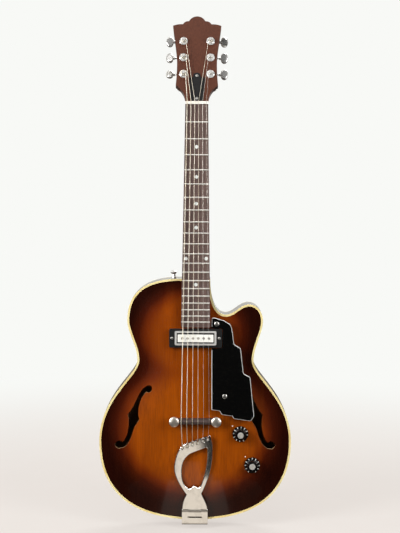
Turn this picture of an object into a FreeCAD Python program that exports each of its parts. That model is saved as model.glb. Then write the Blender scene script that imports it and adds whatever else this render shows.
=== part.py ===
import FreeCAD
import Part
import math
import os
import re
import Sketcher
from FreeCAD import Placement, Rotation, Vector

# Three-quarter-size thin archtop guitar, upright: +Z runs up the neck, the front faces -Y and +X is the
# treble side. The origin is where the end pin's axis meets the tail of the rim, halfway through its depth.

SIZES = {
    # body outline, seen from the front
    "body_length": 443.0,
    "rim_depth": 50.8,
    "lower_bout_half_width": 175.0,
    "lower_bout_height": 144.0,
    "waist_half_width": 105.5,
    "waist_height": 295.0,
    "upper_bout_half_width": 124.0,
    "upper_bout_height": 367.0,
    "horn_half_width": 122.0,
    "horn_tip_reach": 97.0,
    "horn_tip_height": 397.0,
    "cutaway_floor_reach": 55.0,
    "cutaway_floor_height": 378.0,
    "shoulder_half_width": 26.0,
    # plates, sides and what braces them
    "plate_thickness": 4.0,
    "side_thickness": 3.0,
    "binding_width": 3.5,
    "top_arch": 13.0,
    "back_arch": 10.0,
    "edge_ledge": 8.0,
    "arch_run": 95.0,
    "lining_width": 7.0,
    "lining_depth": 14.0,
    "neck_block_length": 48.0,
    "neck_block_bass_reach": 54.0,
    "tail_block_length": 20.0,
    "tail_block_half_width": 40.0,
    "tone_bar_width": 8.0,
    "tone_bar_spacing": 56.0,
    "tone_bar_depth": 12.0,
    "tone_bar_length": 230.0,
    "tone_bar_gap": 10.0,
    "f_hole_length": 116.0,
    "f_hole_spread": 111.5,
    "f_hole_rise": 2.8,
    # string line, neck and head
    "scale_length": 571.5,
    "bridge_height": 187.0,
    "string_rise": 20.0,
    "bridge_string_lift": 4.0,
    "nut_string_lift": 1.4,
    "bridge_string_spread": 50.5,
    "nut_string_spread": 34.5,
    "neck_angle": 3.5,
    "head_angle": 14.0,
    "board_thickness": 6.0,
    "board_nut_width": 41.2,
    "board_end_width": 52.6,
    "board_overhang": 9.7,
    "fret_width": 2.2,
    "fret_end_inset": 0.6,
    "dot_diameter": 6.4,
    "dot_depth": 1.5,
    "double_dot_spacing": 36.4,
    "nut_thickness": 5.0,
    "neck_nut_depth": 14.0,
    "neck_heel_depth": 17.0,
    "heel_run": 36.0,
    "tongue_inset": 2.2,
    "head_length": 164.5,
    "head_thickness": 15.0,
    "head_drop": 2.6,
    "truss_rod_diameter": 5.0,
    "truss_rod_length": 310.0,
    "truss_rod_depth": 7.0,
    "truss_pocket_width": 9.0,
    "truss_pocket_low": 10.0,
    "truss_pocket_high": 36.0,
    "truss_pocket_depth": 12.0,
    "truss_nut_diameter": 7.0,
    "truss_nut_length": 10.0,
    "truss_cover_length": 54.0,
    "truss_cover_thickness": 2.2,
    # tuners
    "post_reach": 24.6,
    "post_spacing": 31.7,
    "first_post_rise": 52.5,
    "post_radius": 3.1,
    "post_front_length": 11.5,
    "post_end_length": 1.2,
    "running_fit": 0.05,
    "bushing_flange_radius": 7.4,
    "bushing_flange_thickness": 1.8,
    "bushing_tube_radius": 4.6,
    "bushing_tube_length": 9.0,
    "tuner_plate_width": 18.5,
    "tuner_plate_shift": 2.2,
    "tuner_plate_low": 25.0,
    "tuner_plate_length": 114.0,
    "tuner_plate_corner": 6.0,
    "tuner_plate_thickness": 1.2,
    "gear_standoff": 1.6,
    "gear_width": 2.2,
    "gear_root_radius": 3.45,
    "gear_tip_radius": 4.7,
    "gear_root_tooth": 0.84,
    "gear_tip_tooth": 0.4,
    "worm_centre_distance": 6.1,
    "worm_pitch": 1.885,
    "worm_root_radius": 1.1,
    "worm_tip_radius": 2.3,
    "worm_root_ridge": 0.7,
    "worm_tip_ridge": 0.3,
    "worm_sink": 0.25,
    "key_shaft_radius": 1.5,
    "lug_thickness": 2.0,
    "lug_width": 5.0,
    "lug_gap": 0.3,
    "button_reach": 49.6,
    "button_width": 14.0,
    "button_height": 20.0,
    "button_thickness": 6.6,
    "button_rounding": 2.4,
    "button_collar_radius": 2.8,
    "button_collar_length": 5.0,
    # strings
    "string_one_diameter": 1.32,
    "string_two_diameter": 1.07,
    "string_three_diameter": 0.81,
    "string_four_diameter": 0.61,
    "string_five_diameter": 0.41,
    "string_six_diameter": 0.30,
    "string_bend_radius": 6.0,
    "string_seat_gap": 0.02,
    "string_slot_clearance": 0.2,
    "winding_clearance": 0.3,
    "winding_gap": 0.5,
    "winding_front": 7.6,
    "ball_radius": 1.9,
    "ball_length": 3.6,
    "ball_inset": 7.0,
    "tail_string_spread": 46.0,
    # bridge
    "saddle_width": 8.8,
    "saddle_depth": 8.0,
    "saddle_crown": 2.8,
    "saddle_end_overlap": 4.0,
    "bridge_base_length": 92.0,
    "bridge_base_width": 10.4,
    "bridge_foot_length": 28.0,
    "bridge_foot_relief": 1.4,
    "bridge_screw_spacing": 76.0,
    "bridge_screw_radius": 2.0,
    "bridge_screw_depth": 7.0,
    "bridge_wheel_radius": 9.3,
    "bridge_wheel_edge": 1.6,
    "bridge_wheel_dome": 3.0,
    "bridge_wheel_gap": 0.3,
    # tailpiece
    "harp_length": 146.0,
    "harp_thickness": 4.5,
    "harp_bevel": 1.1,
    "harp_slot_clearance": 0.7,
    "harp_tip_rise": 14.0,
    "hinge_height": 19.0,
    "hinge_lift": 8.0,
    "hinge_pin_radius": 1.3,
    "hinge_barrel_radius": 3.0,
    "hinge_half_width": 23.5,
    "hinge_gap": 0.3,
    "hinge_knuckle_width": 11.0,
    "bracket_thickness": 1.8,
    "bracket_lip": 7.0,
    "bracket_under_length": 38.0,
    "bracket_slot_half_width": 13.0,
    "bracket_slot_height": 2.2,
    "bracket_slot_rise": 5.4,
    # pickup
    "pickup_gap": 2.8,
    "pickup_top_drop": 0.2,
    "pickup_frame_length": 95.5,
    "pickup_frame_width": 33.7,
    "pickup_frame_corner": 3.0,
    "pickup_cover_length": 75.0,
    "pickup_cover_width": 25.8,
    "pickup_cover_corner": 2.6,
    "pickup_cover_height": 3.0,
    "pickup_cover_depth": 12.0,
    "pickup_cover_wall": 1.0,
    "pickup_insert_length": 64.4,
    "pickup_insert_width": 13.7,
    "pickup_insert_proud": 0.8,
    "pickup_fit": 0.2,
    "pole_spacing": 9.56,
    "pole_head_radius": 2.3,
    "pole_head_height": 0.7,
    "pole_shank_radius": 1.4,
    "coil_height": 8.0,
    "coil_rounding": 5.0,
    # pickguard
    "guard_length": 187.0,
    "guard_thickness": 3.0,
    "guard_drop": 3.0,
    "guard_bevel": 1.0,
    "guard_spacer_radius": 4.0,
    "guard_screw_length": 18.0,
    "guard_notch_gap": 1.2,
    # knobs and electrics
    "volume_reach": 82.2,
    "volume_height": 162.4,
    "tone_reach": 104.0,
    "tone_height": 104.2,
    "knob_skirt_radius": 14.4,
    "knob_skirt_height": 3.2,
    "knob_neck_radius": 10.4,
    "knob_top_radius": 9.2,
    "knob_height": 15.0,
    "knob_cap_radius": 5.6,
    "knob_cap_height": 1.2,
    "knob_bevel": 1.0,
    "knob_lift": 3.4,
    "knob_bore_depth": 10.0,
    "shaft_radius": 3.0,
    "shaft_fit": 0.02,
    "pot_bush_radius": 4.2,
    "pot_bush_fit": 0.2,
    "pot_casing_radius": 8.5,
    "pot_casing_height": 9.0,
    "pot_shaft_depth": 4.0,
    "pot_seat_gap": 2.2,
    "pot_bush_rise": 1.4,
    "pot_end_gap": 0.3,
    "jack_height": 66.0,
    "jack_bore_radius": 3.25,
    "jack_tube_radius": 4.7,
    "jack_tube_length": 24.0,
    "jack_flange_radius": 8.0,
    "jack_flange_thickness": 2.0,
    "jack_hole_fit": 0.15,
    "jack_end_wall": 2.0,
    "lead_radius": 0.9,
    "lead_bend_radius": 6.0,
    "lead_drop": 12.0,
    "lead_coil_reach": 30.0,
    # strap buttons and screws
    "strap_base_radius": 4.2,
    "strap_waist_radius": 2.9,
    "strap_flange_radius": 5.9,
    "strap_length": 13.0,
    "strap_flange_thickness": 2.6,
    "strap_button_reach": 40.0,
    "wood_screw_head_radius": 3.0,
    "wood_screw_head_height": 1.6,
    "wood_screw_shank_radius": 1.4,
    "wood_screw_length": 14.0,
    "guard_screw_head_radius": 4.2,
    "guard_screw_head_height": 2.0,
    "small_screw_head_radius": 2.4,
    "small_screw_head_height": 1.2,
    "small_screw_shank_radius": 1.0,
    "small_screw_length": 8.0,
    "screw_clearance": 0.05,
    "overrun": 10.0,
}

FRET_COUNT = 20
SINGLE_DOT_FRETS = (3, 5, 7, 9, 15)
DOUBLE_DOT_FRET = 12
STRING_WORDS = ("one", "two", "three", "four", "five", "six")
STRING_COUNT = len(STRING_WORDS)
GEAR_TEETH = 14
WINDING_QUARTER_TURNS = 9
# how far each key's button is turned about its shaft, in degrees, bass strings first
BUTTON_TURNS = (32.0, 15.0, 0.0, 48.0, 5.0, 0.0)
ARCH_GRID = (37, 47)
OUTLINE_SAMPLES = 600
INSET_EDGE_POINTS = 17
WINDING_ARC_POINTS = 6
HALVINGS = 50
TINY_SHARE = 1e-9

document = FreeCAD.newDocument("archtop_guitar")
sheet = document.addObject("Spreadsheet::Sheet", "sizes")
for row, (size_name, size_value) in enumerate(SIZES.items(), start=1):
    sheet.set(f"A{row}", size_name)
    sheet.set(f"B{row}", str(size_value))
    sheet.setAlias(f"B{row}", size_name)
document.recompute()

NODES = []
SCREWS = []
SCREW_HOLES = []
TO_FRONT = Vector(0, -1, 0)
ALONG_X = Vector(1, 0, 0)
ALONG_Z = Vector(0, 0, 1)


def mm(name):
    """A driving size, read from the sheet."""
    return getattr(sheet, name)


def string_diameters():
    """Diameters of the strings from the bass."""
    return [mm(f"string_{word}_diameter") for word in STRING_WORDS]


def bound(text):
    """An expression on the sheet's cells, from plain size names."""
    return re.sub(r"[a-z][a-z_]+", lambda word: "sizes." + word.group(0), text)


def keep(feature, label):
    """Names a finished sub-part and lists it for writing."""
    feature.Label = label
    NODES.append(feature)
    return feature


def add_shape(label, shape, placement=None):
    """A sub-part whose shape is made by code; its place, if given, is set after its shape."""
    feature = document.addObject("Part::Feature", label)
    feature.Shape = shape
    if placement is not None:
        feature.Placement = placement.multiply(feature.Placement)
    return keep(feature, label)


def bound_sketch(body, corners):
    """A closed polygon on the body's XZ plane whose corners follow expressions (across, up)."""
    sketch = body.newObject("Sketcher::SketchObject", body.Name + "_outline")
    plane = [feature for feature in body.Origin.OriginFeatures if feature.Role == "XZ_Plane"][0]
    sketch.AttachmentSupport = [(plane, "")]
    sketch.MapMode = "FlatFace"
    places = [[float(sheet.evalExpression(bound(text))) for text in corner] for corner in corners]
    count = len(corners)
    for index in range(count):
        start = Vector(*places[index], 0)
        end = Vector(*places[(index + 1) % count], 0)
        sketch.addGeometry(Part.LineSegment(start, end), False)
    for index in range(count):
        sketch.addConstraint(Sketcher.Constraint("Coincident", index, 2, (index + 1) % count, 1))
    for index, corner in enumerate(corners):
        for axis, text in enumerate(corner):
            kind = ("DistanceX", "DistanceY")[axis]
            number = sketch.addConstraint(Sketcher.Constraint(kind, -1, 1, index, 1, places[index][axis]))
            sketch.setExpression(f"Constraints[{number}]", bound(text))
    return sketch


def turned(name, profile, placement):
    """A body turned about its own Z axis from (radius, height) expressions."""
    body = document.addObject("PartDesign::Body", name)
    turn = body.newObject("PartDesign::Revolution", name + "_turn")
    turn.Profile = bound_sketch(body, profile)
    turn.ReferenceAxis = (turn.Profile[0], ["V_Axis"])
    turn.Angle = 360
    body.Placement = placement
    return body


def padded(name, corners, depth, placement):
    """A body padded backwards, along +Y, from an outline of (across, up) expressions."""
    body = document.addObject("PartDesign::Body", name)
    pad = body.newObject("PartDesign::Pad", name + "_pad")
    pad.Profile = bound_sketch(body, corners)
    pad.setExpression("Length", bound(depth))
    pad.Reversed = True
    body.Placement = placement
    return body


def rectangle(half_width, low, high):
    """Corner expressions of an upright rectangle centred on the middle line."""
    left = f"0 - ({half_width})"
    return [(left, low), (half_width, low), (half_width, high), (left, high)]


def cut_feature(name, base, tool_shape):
    """A boolean cut of a bound body by a shape given in the shared frame."""
    tool = document.addObject("Part::Feature", name + "_tool")
    tool.Shape = tool_shape
    cut = document.addObject("Part::Cut", name + "_cut")
    cut.Base = base
    cut.Tool = tool
    return cut


def aimed(position, direction):
    """A placement whose Z axis points along a direction."""
    return Placement(position, Rotation(ALONG_Z, direction))


def rod(radius, length, position, direction):
    """A cylinder from a position along a direction."""
    return Part.makeCylinder(radius, length, position, direction)


def block(low, high):
    """A box between two corners."""
    size = high - low
    return Part.makeBox(size.x, size.y, size.z, low)


def put(shape, frame):
    """Moves a shape from a local frame into the shared frame."""
    shape.Placement = frame.multiply(shape.Placement)
    return shape


def screw_shape(head_radius, head_height, shank_radius, length, extra=0.0):
    """A countersunk screw pointing down its own -Z, its head's top at zero."""
    head = Part.makeCone(shank_radius + extra, head_radius + extra, head_height, Vector(0, 0, -head_height))
    shank = rod(shank_radius + extra, length, Vector(0, 0, -length), ALONG_Z)
    return head.fuse(shank).removeSplitter()


def add_screw(kind, position, outward, length=None):
    """Adds a screw and the hole it needs; outward points from the wood to the head."""
    radius = mm(kind + "_screw_head_radius")
    height = mm(kind + "_screw_head_height")
    shank = mm(("small" if kind == "small" else "wood") + "_screw_shank_radius")
    reach = length or mm(("small" if kind == "small" else "wood") + "_screw_length")
    for group, extra in ((SCREWS, 0.0), (SCREW_HOLES, mm("screw_clearance"))):
        shape = screw_shape(radius, height, shank, reach, extra)
        shape.Placement = aimed(position, outward)
        group.append(shape)


def drilled(shape):
    """The shape without the screw holes that reach it."""
    for hole in SCREW_HOLES:
        if shape.BoundBox.intersect(hole.BoundBox):
            shape = shape.cut(hole)
    return shape


def curve_through(points):
    """A straight line through two points, or one smooth curve through more."""
    if len(points) == 2:
        return Part.makeLine(points[0], points[1])
    curve = Part.BSplineCurve()
    curve.interpolate(points)
    return curve.toShape()


def loop_face(stretches):
    """The flat face inside stretches that follow each other round a loop."""
    edges = [curve_through(stretch) for stretch in stretches]
    return Part.Face(Part.Wire(edges))


def corner_arc(before, corner, after, radius):
    """The tangent arc that rounds a corner of a path, with its two ends."""
    inward = (before - corner).normalize()
    outward = (after - corner).normalize()
    half_angle = inward.getAngle(outward) / 2
    tangent = radius / math.tan(half_angle)
    middle_line = (inward + outward).normalize()
    centre = corner + middle_line * (radius / math.sin(half_angle))
    start = corner + inward * tangent
    end = corner + outward * tangent
    return start, Part.Arc(start, centre - middle_line * radius, end).toShape(), end


def rounded_face(corners):
    """The flat face inside straight sides whose corners (x, z, radius) are rounded by tangent arcs."""
    arcs = []
    ends = []
    count = len(corners)
    places = [Vector(x, 0, z) for x, z, _ in corners]
    for index in range(count):
        before, here, after = [places[(index + step) % count] for step in (-1, 0, 1)]
        radius = corners[index][2]
        if radius > 0:
            start, arc, end = corner_arc(before, here, after, radius)
        else:
            start, arc, end = here, None, here
        arcs.append(arc)
        ends.append((start, end))
    edges = []
    for index in range(count):
        if arcs[index]:
            edges.append(arcs[index])
        edges.append(Part.makeLine(ends[index][1], ends[(index + 1) % count][0]))
    return Part.Face(Part.Wire(edges))


def front_prism(face, front, back):
    """A flat face of the XZ plane drawn out between two depths."""
    moved = face.copy()
    moved.translate(Vector(0, front, 0))
    return moved.extrude(Vector(0, back - front, 0))


# Frames of reference

def half_depth():
    return mm("rim_depth") / 2


def board_plane():
    """Depth of the fretboard's face below the saddle."""
    return -(half_depth() + mm("top_arch") + mm("string_rise") - mm("bridge_string_lift"))


def neck_frame():
    """Origin on the fretboard's plane under the saddle, Z towards the nut, Y to the back."""
    origin = Vector(0, board_plane(), mm("bridge_height"))
    return Placement(origin, Rotation(ALONG_X, -mm("neck_angle")))


def head_frame():
    """Origin on the headstock's face at the nut, Z towards the crown, Y to the back."""
    origin = Vector(0, mm("head_drop"), mm("scale_length") + mm("nut_thickness"))
    return neck_frame().multiply(Placement(origin, Rotation(ALONG_X, -mm("head_angle"))))


def harp_frame():
    """Origin on the tailpiece hinge, Z along the harp towards the strings."""
    tilt = math.degrees(math.asin(mm("harp_tip_rise") / mm("harp_length")))
    origin = Vector(0, -half_depth() - mm("hinge_lift"), mm("hinge_height"))
    return Placement(origin, Rotation(ALONG_X, tilt))


def fret_place(number):
    """Distance of a fret from the saddle."""
    return mm("scale_length") * 2 ** (-number / 12)


def joint_place():
    """Distance from the saddle, along the neck, at which the neck meets the body's shoulder."""
    return (mm("body_length") - mm("bridge_height")) / math.cos(math.radians(mm("neck_angle")))


def board_end():
    return fret_place(FRET_COUNT) - mm("board_overhang")


def board_half_width(place):
    """Half the fretboard's width at a distance from the saddle."""
    run = (mm("scale_length") - place) / (mm("scale_length") - board_end())
    return (mm("board_nut_width") + run * (mm("board_end_width") - mm("board_nut_width"))) / 2


def pickup_centre():
    return board_end() - mm("pickup_gap") - mm("pickup_frame_width") / 2


# Body outline and arches

def bend(start, end, first_axis, last_axis, handle_shares):
    """A curve between two points that leaves and arrives along the named axes."""
    run = end - start
    first = ALONG_X * run.x if first_axis == "x" else ALONG_Z * run.z
    last = ALONG_X * run.x if last_axis == "x" else ALONG_Z * run.z
    curve = Part.BezierCurve()
    curve.setPoles([start, start + first * handle_shares[0], end - last * handle_shares[1], end])
    return curve.toBSpline().toShape()


def body_wire():
    tail = Vector(0, 0, 0)
    bass_bout = Vector(-mm("lower_bout_half_width"), 0, mm("lower_bout_height"))
    bass_waist = Vector(-mm("waist_half_width"), 0, mm("waist_height"))
    bass_upper = Vector(-mm("upper_bout_half_width"), 0, mm("upper_bout_height"))
    bass_shoulder = Vector(-mm("shoulder_half_width"), 0, mm("body_length"))
    treble_shoulder = Vector(mm("shoulder_half_width"), 0, mm("body_length"))
    cutaway_floor = Vector(mm("cutaway_floor_reach"), 0, mm("cutaway_floor_height"))
    horn_tip = Vector(mm("horn_tip_reach"), 0, mm("horn_tip_height"))
    horn_side = Vector(mm("horn_half_width"), 0, mm("upper_bout_height"))
    treble_waist = Vector(mm("waist_half_width"), 0, mm("waist_height"))
    treble_bout = Vector(mm("lower_bout_half_width"), 0, mm("lower_bout_height"))
    return Part.Wire([
        bend(tail, bass_bout, "x", "z", (0.75, 0.55)),
        bend(bass_bout, bass_waist, "z", "z", (0.55, 0.20)),
        bend(bass_waist, bass_upper, "z", "z", (0.35, 0.30)),
        bend(bass_upper, bass_shoulder, "z", "x", (0.70, 0.65)),
        Part.makeLine(bass_shoulder, treble_shoulder),
        bend(treble_shoulder, cutaway_floor, "z", "x", (0.55, 0.70)),
        bend(cutaway_floor, horn_tip, "x", "x", (0.35, 0.40)),
        bend(horn_tip, horn_side, "x", "z", (0.50, 0.60)),
        bend(horn_side, treble_waist, "z", "z", (0.30, 0.35)),
        bend(treble_waist, treble_bout, "z", "z", (0.20, 0.55)),
        bend(treble_bout, tail, "z", "x", (0.55, 0.75)),
    ])


OUTLINE = Part.Face(body_wire())
OUTLINE_POINTS = OUTLINE.OuterWire.discretize(OUTLINE_SAMPLES)


def inset_face(inset):
    """The body outline drawn in by a distance, each edge as one plain curve."""
    edges = []
    for edge in OUTLINE.makeOffset2D(-inset).OuterWire.OrderedEdges:
        count = 2 if edge.Curve.TypeId == "Part::GeomLine" else INSET_EDGE_POINTS
        edges.append(curve_through(edge.discretize(count)))
    return Part.Face(Part.Wire(edges))


def inside_outline(x, z):
    inside = False
    for one, other in zip(OUTLINE_POINTS, OUTLINE_POINTS[1:] + OUTLINE_POINTS[:1]):
        if (one.z > z) != (other.z > z) and x < one.x + (z - one.z) * (other.x - one.x) / (other.z - one.z):
            inside = not inside
    return inside


def edge_reach(x, z):
    """A smooth measure of how far a point lies from the whole edge; exact beside a straight edge."""
    step = OUTLINE.OuterWire.Length / OUTLINE_SAMPLES
    total = 0.0
    for point in OUTLINE_POINTS:
        distance = math.hypot(point.x - x, point.z - z) + step * TINY_SHARE
        total += step / distance ** 3
    return math.sqrt(2 / total)


def arch_share(x, z):
    """Share of the full arch at a place on the plate: none on the ledge, all of it in the middle."""
    if not inside_outline(x, z):
        return 0.0
    run = (edge_reach(x, z) - mm("edge_ledge")) / (mm("arch_run") - mm("edge_ledge"))
    run = min(1.0, max(0.0, run))
    return run * run * (3 - 2 * run)


def arch_grid():
    """Places across and along the body with the arch's share at each."""
    half_width = mm("lower_bout_half_width") + mm("overrun")
    columns, rows = ARCH_GRID
    length = mm("body_length") + 2 * mm("overrun")
    places = []
    for column in range(columns):
        x = half_width * (2 * column / (columns - 1) - 1)
        heights = [length * row / (rows - 1) - mm("overrun") for row in range(rows)]
        places.append([(x, z, arch_share(x, z)) for z in heights])
    return places


ARCH_PLACES = arch_grid()


def arched_face(side, arch):
    """The outer face of a plate; side is -1 for the front and 1 for the back."""
    points = [[Vector(x, side * (half_depth() + arch * share), z) for x, z, share in line]
              for line in ARCH_PLACES]
    surface = Part.BSplineSurface()
    surface.interpolate(points)
    return surface.toShape()


def arched_slab(side, arch, near, depth):
    """The solid that lies under a plate's outer face, from one distance inward to another."""
    face = arched_face(side, arch)
    face.translate(Vector(0, -side * near, 0))
    return face.extrude(Vector(0, -side * depth, 0))


UNDER_TOP = arched_slab(-1, mm("top_arch"), 0.0, mm("rim_depth") * 2)
UNDER_TOP_PLATE = arched_slab(-1, mm("top_arch"), mm("plate_thickness"), mm("rim_depth") * 2)
OVER_BACK_PLATE = arched_slab(1, mm("back_arch"), mm("plate_thickness"), mm("rim_depth") * 2)


def top_depth(x, z):
    """Depth of the top's outer face at a place."""
    line = Part.makeLine(Vector(x, -mm("rim_depth") * 2, z), Vector(x, half_depth(), z))
    crossing = UNDER_TOP.common(line)
    return crossing.BoundBox.YMin


# F-holes: a slim S with a round end at each end and a nick on each side
F_HOLE_SHARES = (
    ((0.238, 0.512), (0.151, 0.465), (0.091, 0.388), (0.045, 0.298), (-0.015, 0.171), (-0.056, 0.103)),
    ((-0.056, 0.103), (-0.098, 0.052)),
    ((-0.098, 0.052), (-0.083, -0.027)),
    ((-0.083, -0.027), (-0.083, -0.116), (-0.098, -0.222), (-0.134, -0.328), (-0.180, -0.396)),
    ((-0.180, -0.396), (-0.252, -0.378), (-0.298, -0.430), (-0.272, -0.486), (-0.218, -0.494)),
    ((-0.218, -0.494), (-0.151, -0.472), (-0.090, -0.403), (-0.045, -0.314), (-0.015, -0.215),
     (0.015, -0.140)),
    ((0.015, -0.140), (0.088, -0.027)),
    ((0.088, -0.027), (0.072, 0.019)),
    ((0.072, 0.019), (0.069, 0.125), (0.091, 0.230), (0.129, 0.321), (0.197, 0.404)),
    ((0.197, 0.404), (0.257, 0.403), (0.283, 0.448), (0.272, 0.495), (0.238, 0.512)),
)


def f_hole_cutter(side):
    """The prism of an f-hole on the bass (-1) or treble (1) side."""
    length = mm("f_hole_length")
    middle = Vector(side * mm("f_hole_spread"), 0, mm("bridge_height") + mm("f_hole_rise"))
    stretches = [[middle + Vector(-side * across * length, 0, up * length) for across, up in stretch]
                 for stretch in F_HOLE_SHARES]
    return front_prism(loop_face(stretches), -mm("rim_depth"), 0.0)


def pickup_well():
    """The opening in the top under the pickup's cover."""
    half_width = mm("pickup_cover_length") / 2 + mm("pickup_fit")
    half_height = mm("pickup_cover_width") / 2 + mm("pickup_fit")
    middle = mm("bridge_height") + pickup_centre() * math.cos(math.radians(mm("neck_angle")))
    rise = half_height + mm("pickup_cover_depth") * math.sin(math.radians(mm("neck_angle")))
    return block(Vector(-half_width, -mm("rim_depth"), middle - rise), Vector(half_width, 0, middle + rise))


def knob_places():
    """Name, across and up of each control."""
    return [(name, mm(name + "_reach"), mm(name + "_height")) for name in ("volume", "tone")]


def make_plates():
    inner = inset_face(mm("binding_width"))
    whole = front_prism(inner, -mm("rim_depth") * 2, mm("rim_depth") * 2)
    top = arched_slab(-1, mm("top_arch"), 0.0, mm("plate_thickness")).common(whole)
    cutters = [f_hole_cutter(-1), f_hole_cutter(1), pickup_well()]
    for _, reach, height in knob_places():
        hole_radius = mm("pot_bush_radius") + mm("pot_bush_fit")
        cutters.append(rod(hole_radius, mm("rim_depth"), Vector(reach, 0, height), TO_FRONT))
    for cutter in cutters:
        top = top.cut(cutter)
    add_shape("top_plate", drilled(top))
    back = arched_slab(1, mm("back_arch"), 0.0, mm("plate_thickness")).common(whole)
    add_shape("back_plate", back)


def make_rim():
    """Bent sides in two halves, bindings over their edges, linings and blocks inside them."""
    edge = half_depth() - mm("plate_thickness")
    ring = OUTLINE.cut(inset_face(mm("side_thickness")))
    sides = front_prism(ring, -edge, edge).cut(jack_solid(mm("jack_hole_fit")))
    sides = drilled(sides)
    reach = mm("lower_bout_half_width") + mm("overrun")
    length = mm("body_length") + mm("overrun")
    for name, side in (("bass_side", -1), ("treble_side", 1)):
        low = Vector(min(0, side * reach), -mm("rim_depth"), -mm("overrun"))
        half = block(low, Vector(max(0, side * reach), mm("rim_depth"), length))
        add_shape(name, sides.common(half))
    binding_ring = OUTLINE.cut(inset_face(mm("binding_width")))
    add_shape("top_binding", front_prism(binding_ring, -half_depth(), -edge))
    add_shape("back_binding", front_prism(binding_ring, edge, half_depth()))
    make_blocks_and_linings(edge)


def make_blocks_and_linings(edge):
    """Blocks at both ends and linings round the sides, trimmed to the plates' inner faces."""
    inner_face = inset_face(mm("side_thickness"))
    inner = front_prism(inner_face, -half_depth(), half_depth())
    inner = inner.common(UNDER_TOP_PLATE).common(OVER_BACK_PLATE)
    neck_floor = mm("body_length") - mm("neck_block_length")
    neck_low = Vector(-mm("neck_block_bass_reach"), -half_depth(), neck_floor)
    neck_high = Vector(mm("horn_half_width"), half_depth(), mm("body_length"))
    neck_block = max(inner.common(block(neck_low, neck_high)).Solids, key=lambda solid: solid.BoundBox.ZMax)
    tail_low = Vector(-mm("tail_block_half_width"), -half_depth(), 0)
    tail_high = Vector(mm("tail_block_half_width"), half_depth(), mm("tail_block_length"))
    tail_block = inner.common(block(tail_low, tail_high))
    add_shape("neck_block", drilled(neck_block))
    add_shape("tail_block", drilled(tail_block))
    lining_ring = inner_face.cut(inset_face(mm("side_thickness") + mm("lining_width")))
    reach = edge - mm("lining_depth")
    front_lining = front_prism(lining_ring, -half_depth(), -reach).common(UNDER_TOP_PLATE)
    back_lining = front_prism(lining_ring, reach, half_depth()).common(OVER_BACK_PLATE)
    solids = []
    for lining in (front_lining, back_lining):
        for cutter in (neck_block, tail_block, jack_solid(mm("jack_hole_fit"))):
            lining = lining.cut(cutter)
        solids.extend(lining.Solids)
    add_shape("linings", Part.makeCompound(solids))


def make_tone_bars():
    """Two bars glued lengthwise under the top, following its arch."""
    bars = []
    high = pickup_well().BoundBox.ZMin - mm("tone_bar_gap")
    for side in (-1, 1):
        middle = side * mm("tone_bar_spacing") / 2
        low_corner = Vector(middle - mm("tone_bar_width") / 2, -mm("rim_depth"), high - mm("tone_bar_length"))
        foot = -half_depth() - mm("top_arch") + mm("plate_thickness") + mm("tone_bar_depth")
        high_corner = Vector(middle + mm("tone_bar_width") / 2, foot, high)
        bars.append(block(low_corner, high_corner).common(UNDER_TOP_PLATE))
    add_shape("tone_bars", Part.makeCompound(bars))


# Neck and head

def body_space():
    """Everything that the closed body takes up, for trimming what sits on it."""
    return UNDER_TOP.common(front_prism(OUTLINE, -mm("rim_depth") * 2, mm("rim_depth") * 2))


BODY_SPACE = body_space()
NECK_OVAL_STEPS = 8


def neck_section(place, half_width, depth):
    """A half-oval neck section under the fretboard, at a distance from the saddle."""
    points = []
    for step in range(NECK_OVAL_STEPS + 1):
        angle = math.pi * step / NECK_OVAL_STEPS
        back = mm("board_thickness") + depth * math.sin(angle)
        points.append(Vector(half_width * math.cos(angle), back, place))
    return Part.Wire([curve_through(points), Part.makeLine(points[-1], points[0])])


HEEL_DEPTH_SHARES = ((1.0, 0.0), (0.72, 0.05), (0.40, 0.42), (0.12, 0.86), (0.0, 0.97), (-0.3, 1.0))


def neck_shaft():
    """The round-backed shaft from the nut to the heel, then the heel down to the body's shoulder."""
    nut_end = mm("scale_length") + mm("nut_thickness")
    heel_start = joint_place() + mm("heel_run")
    middle = (nut_end + heel_start) / 2
    middle_depth = (mm("neck_nut_depth") + mm("neck_heel_depth")) / 2
    shaft = Part.makeLoft([
        neck_section(nut_end, board_half_width(mm("scale_length")), mm("neck_nut_depth")),
        neck_section(middle, board_half_width(middle), middle_depth),
        neck_section(heel_start, board_half_width(heel_start), mm("neck_heel_depth")),
    ], True)
    shoulder_face = board_plane() + joint_place() * math.sin(math.radians(mm("neck_angle")))
    full_depth = half_depth() - shoulder_face - mm("board_thickness")
    sections = []
    for run_share, depth_share in HEEL_DEPTH_SHARES:
        place = joint_place() + mm("heel_run") * run_share
        depth = mm("neck_heel_depth") + depth_share * (full_depth - mm("neck_heel_depth"))
        sections.append(neck_section(place, board_half_width(heel_start), depth))
    return shaft.fuse(Part.makeLoft(sections, True))


# half of the headstock's outline, as shares of its length: flared foot, side and three-lobed crown
HEAD_SHARES = (
    ((0.126, 0.0), (0.136, 0.064), (0.166, 0.125), (0.232, 0.186)),
    ((0.232, 0.186), (0.2215, 0.328), (0.2215, 0.500), (0.241, 0.680), (0.2675, 0.8875)),
    ((0.2675, 0.8875), (0.215, 0.903), (0.158, 0.906)),
    ((0.158, 0.906), (0.131, 0.934), (0.091, 0.942)),
    ((0.091, 0.942), (0.052, 0.985), (0.0, 1.0)),
)


def head_face():
    length = mm("head_length")
    treble = [[Vector(x * length, 0, up * length) for x, up in stretch] for stretch in HEAD_SHARES]
    bass = [[Vector(-point.x, 0, point.z) for point in reversed(stretch)] for stretch in reversed(treble)]
    foot = treble[0][0]
    sunk = -mm("nut_thickness")
    ends = [Vector(-foot.x, 0, 0), Vector(-foot.x, 0, sunk), Vector(foot.x, 0, sunk), foot]
    root = [[start, end] for start, end in zip(ends, ends[1:])]
    return loop_face(treble + bass + root)


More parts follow.
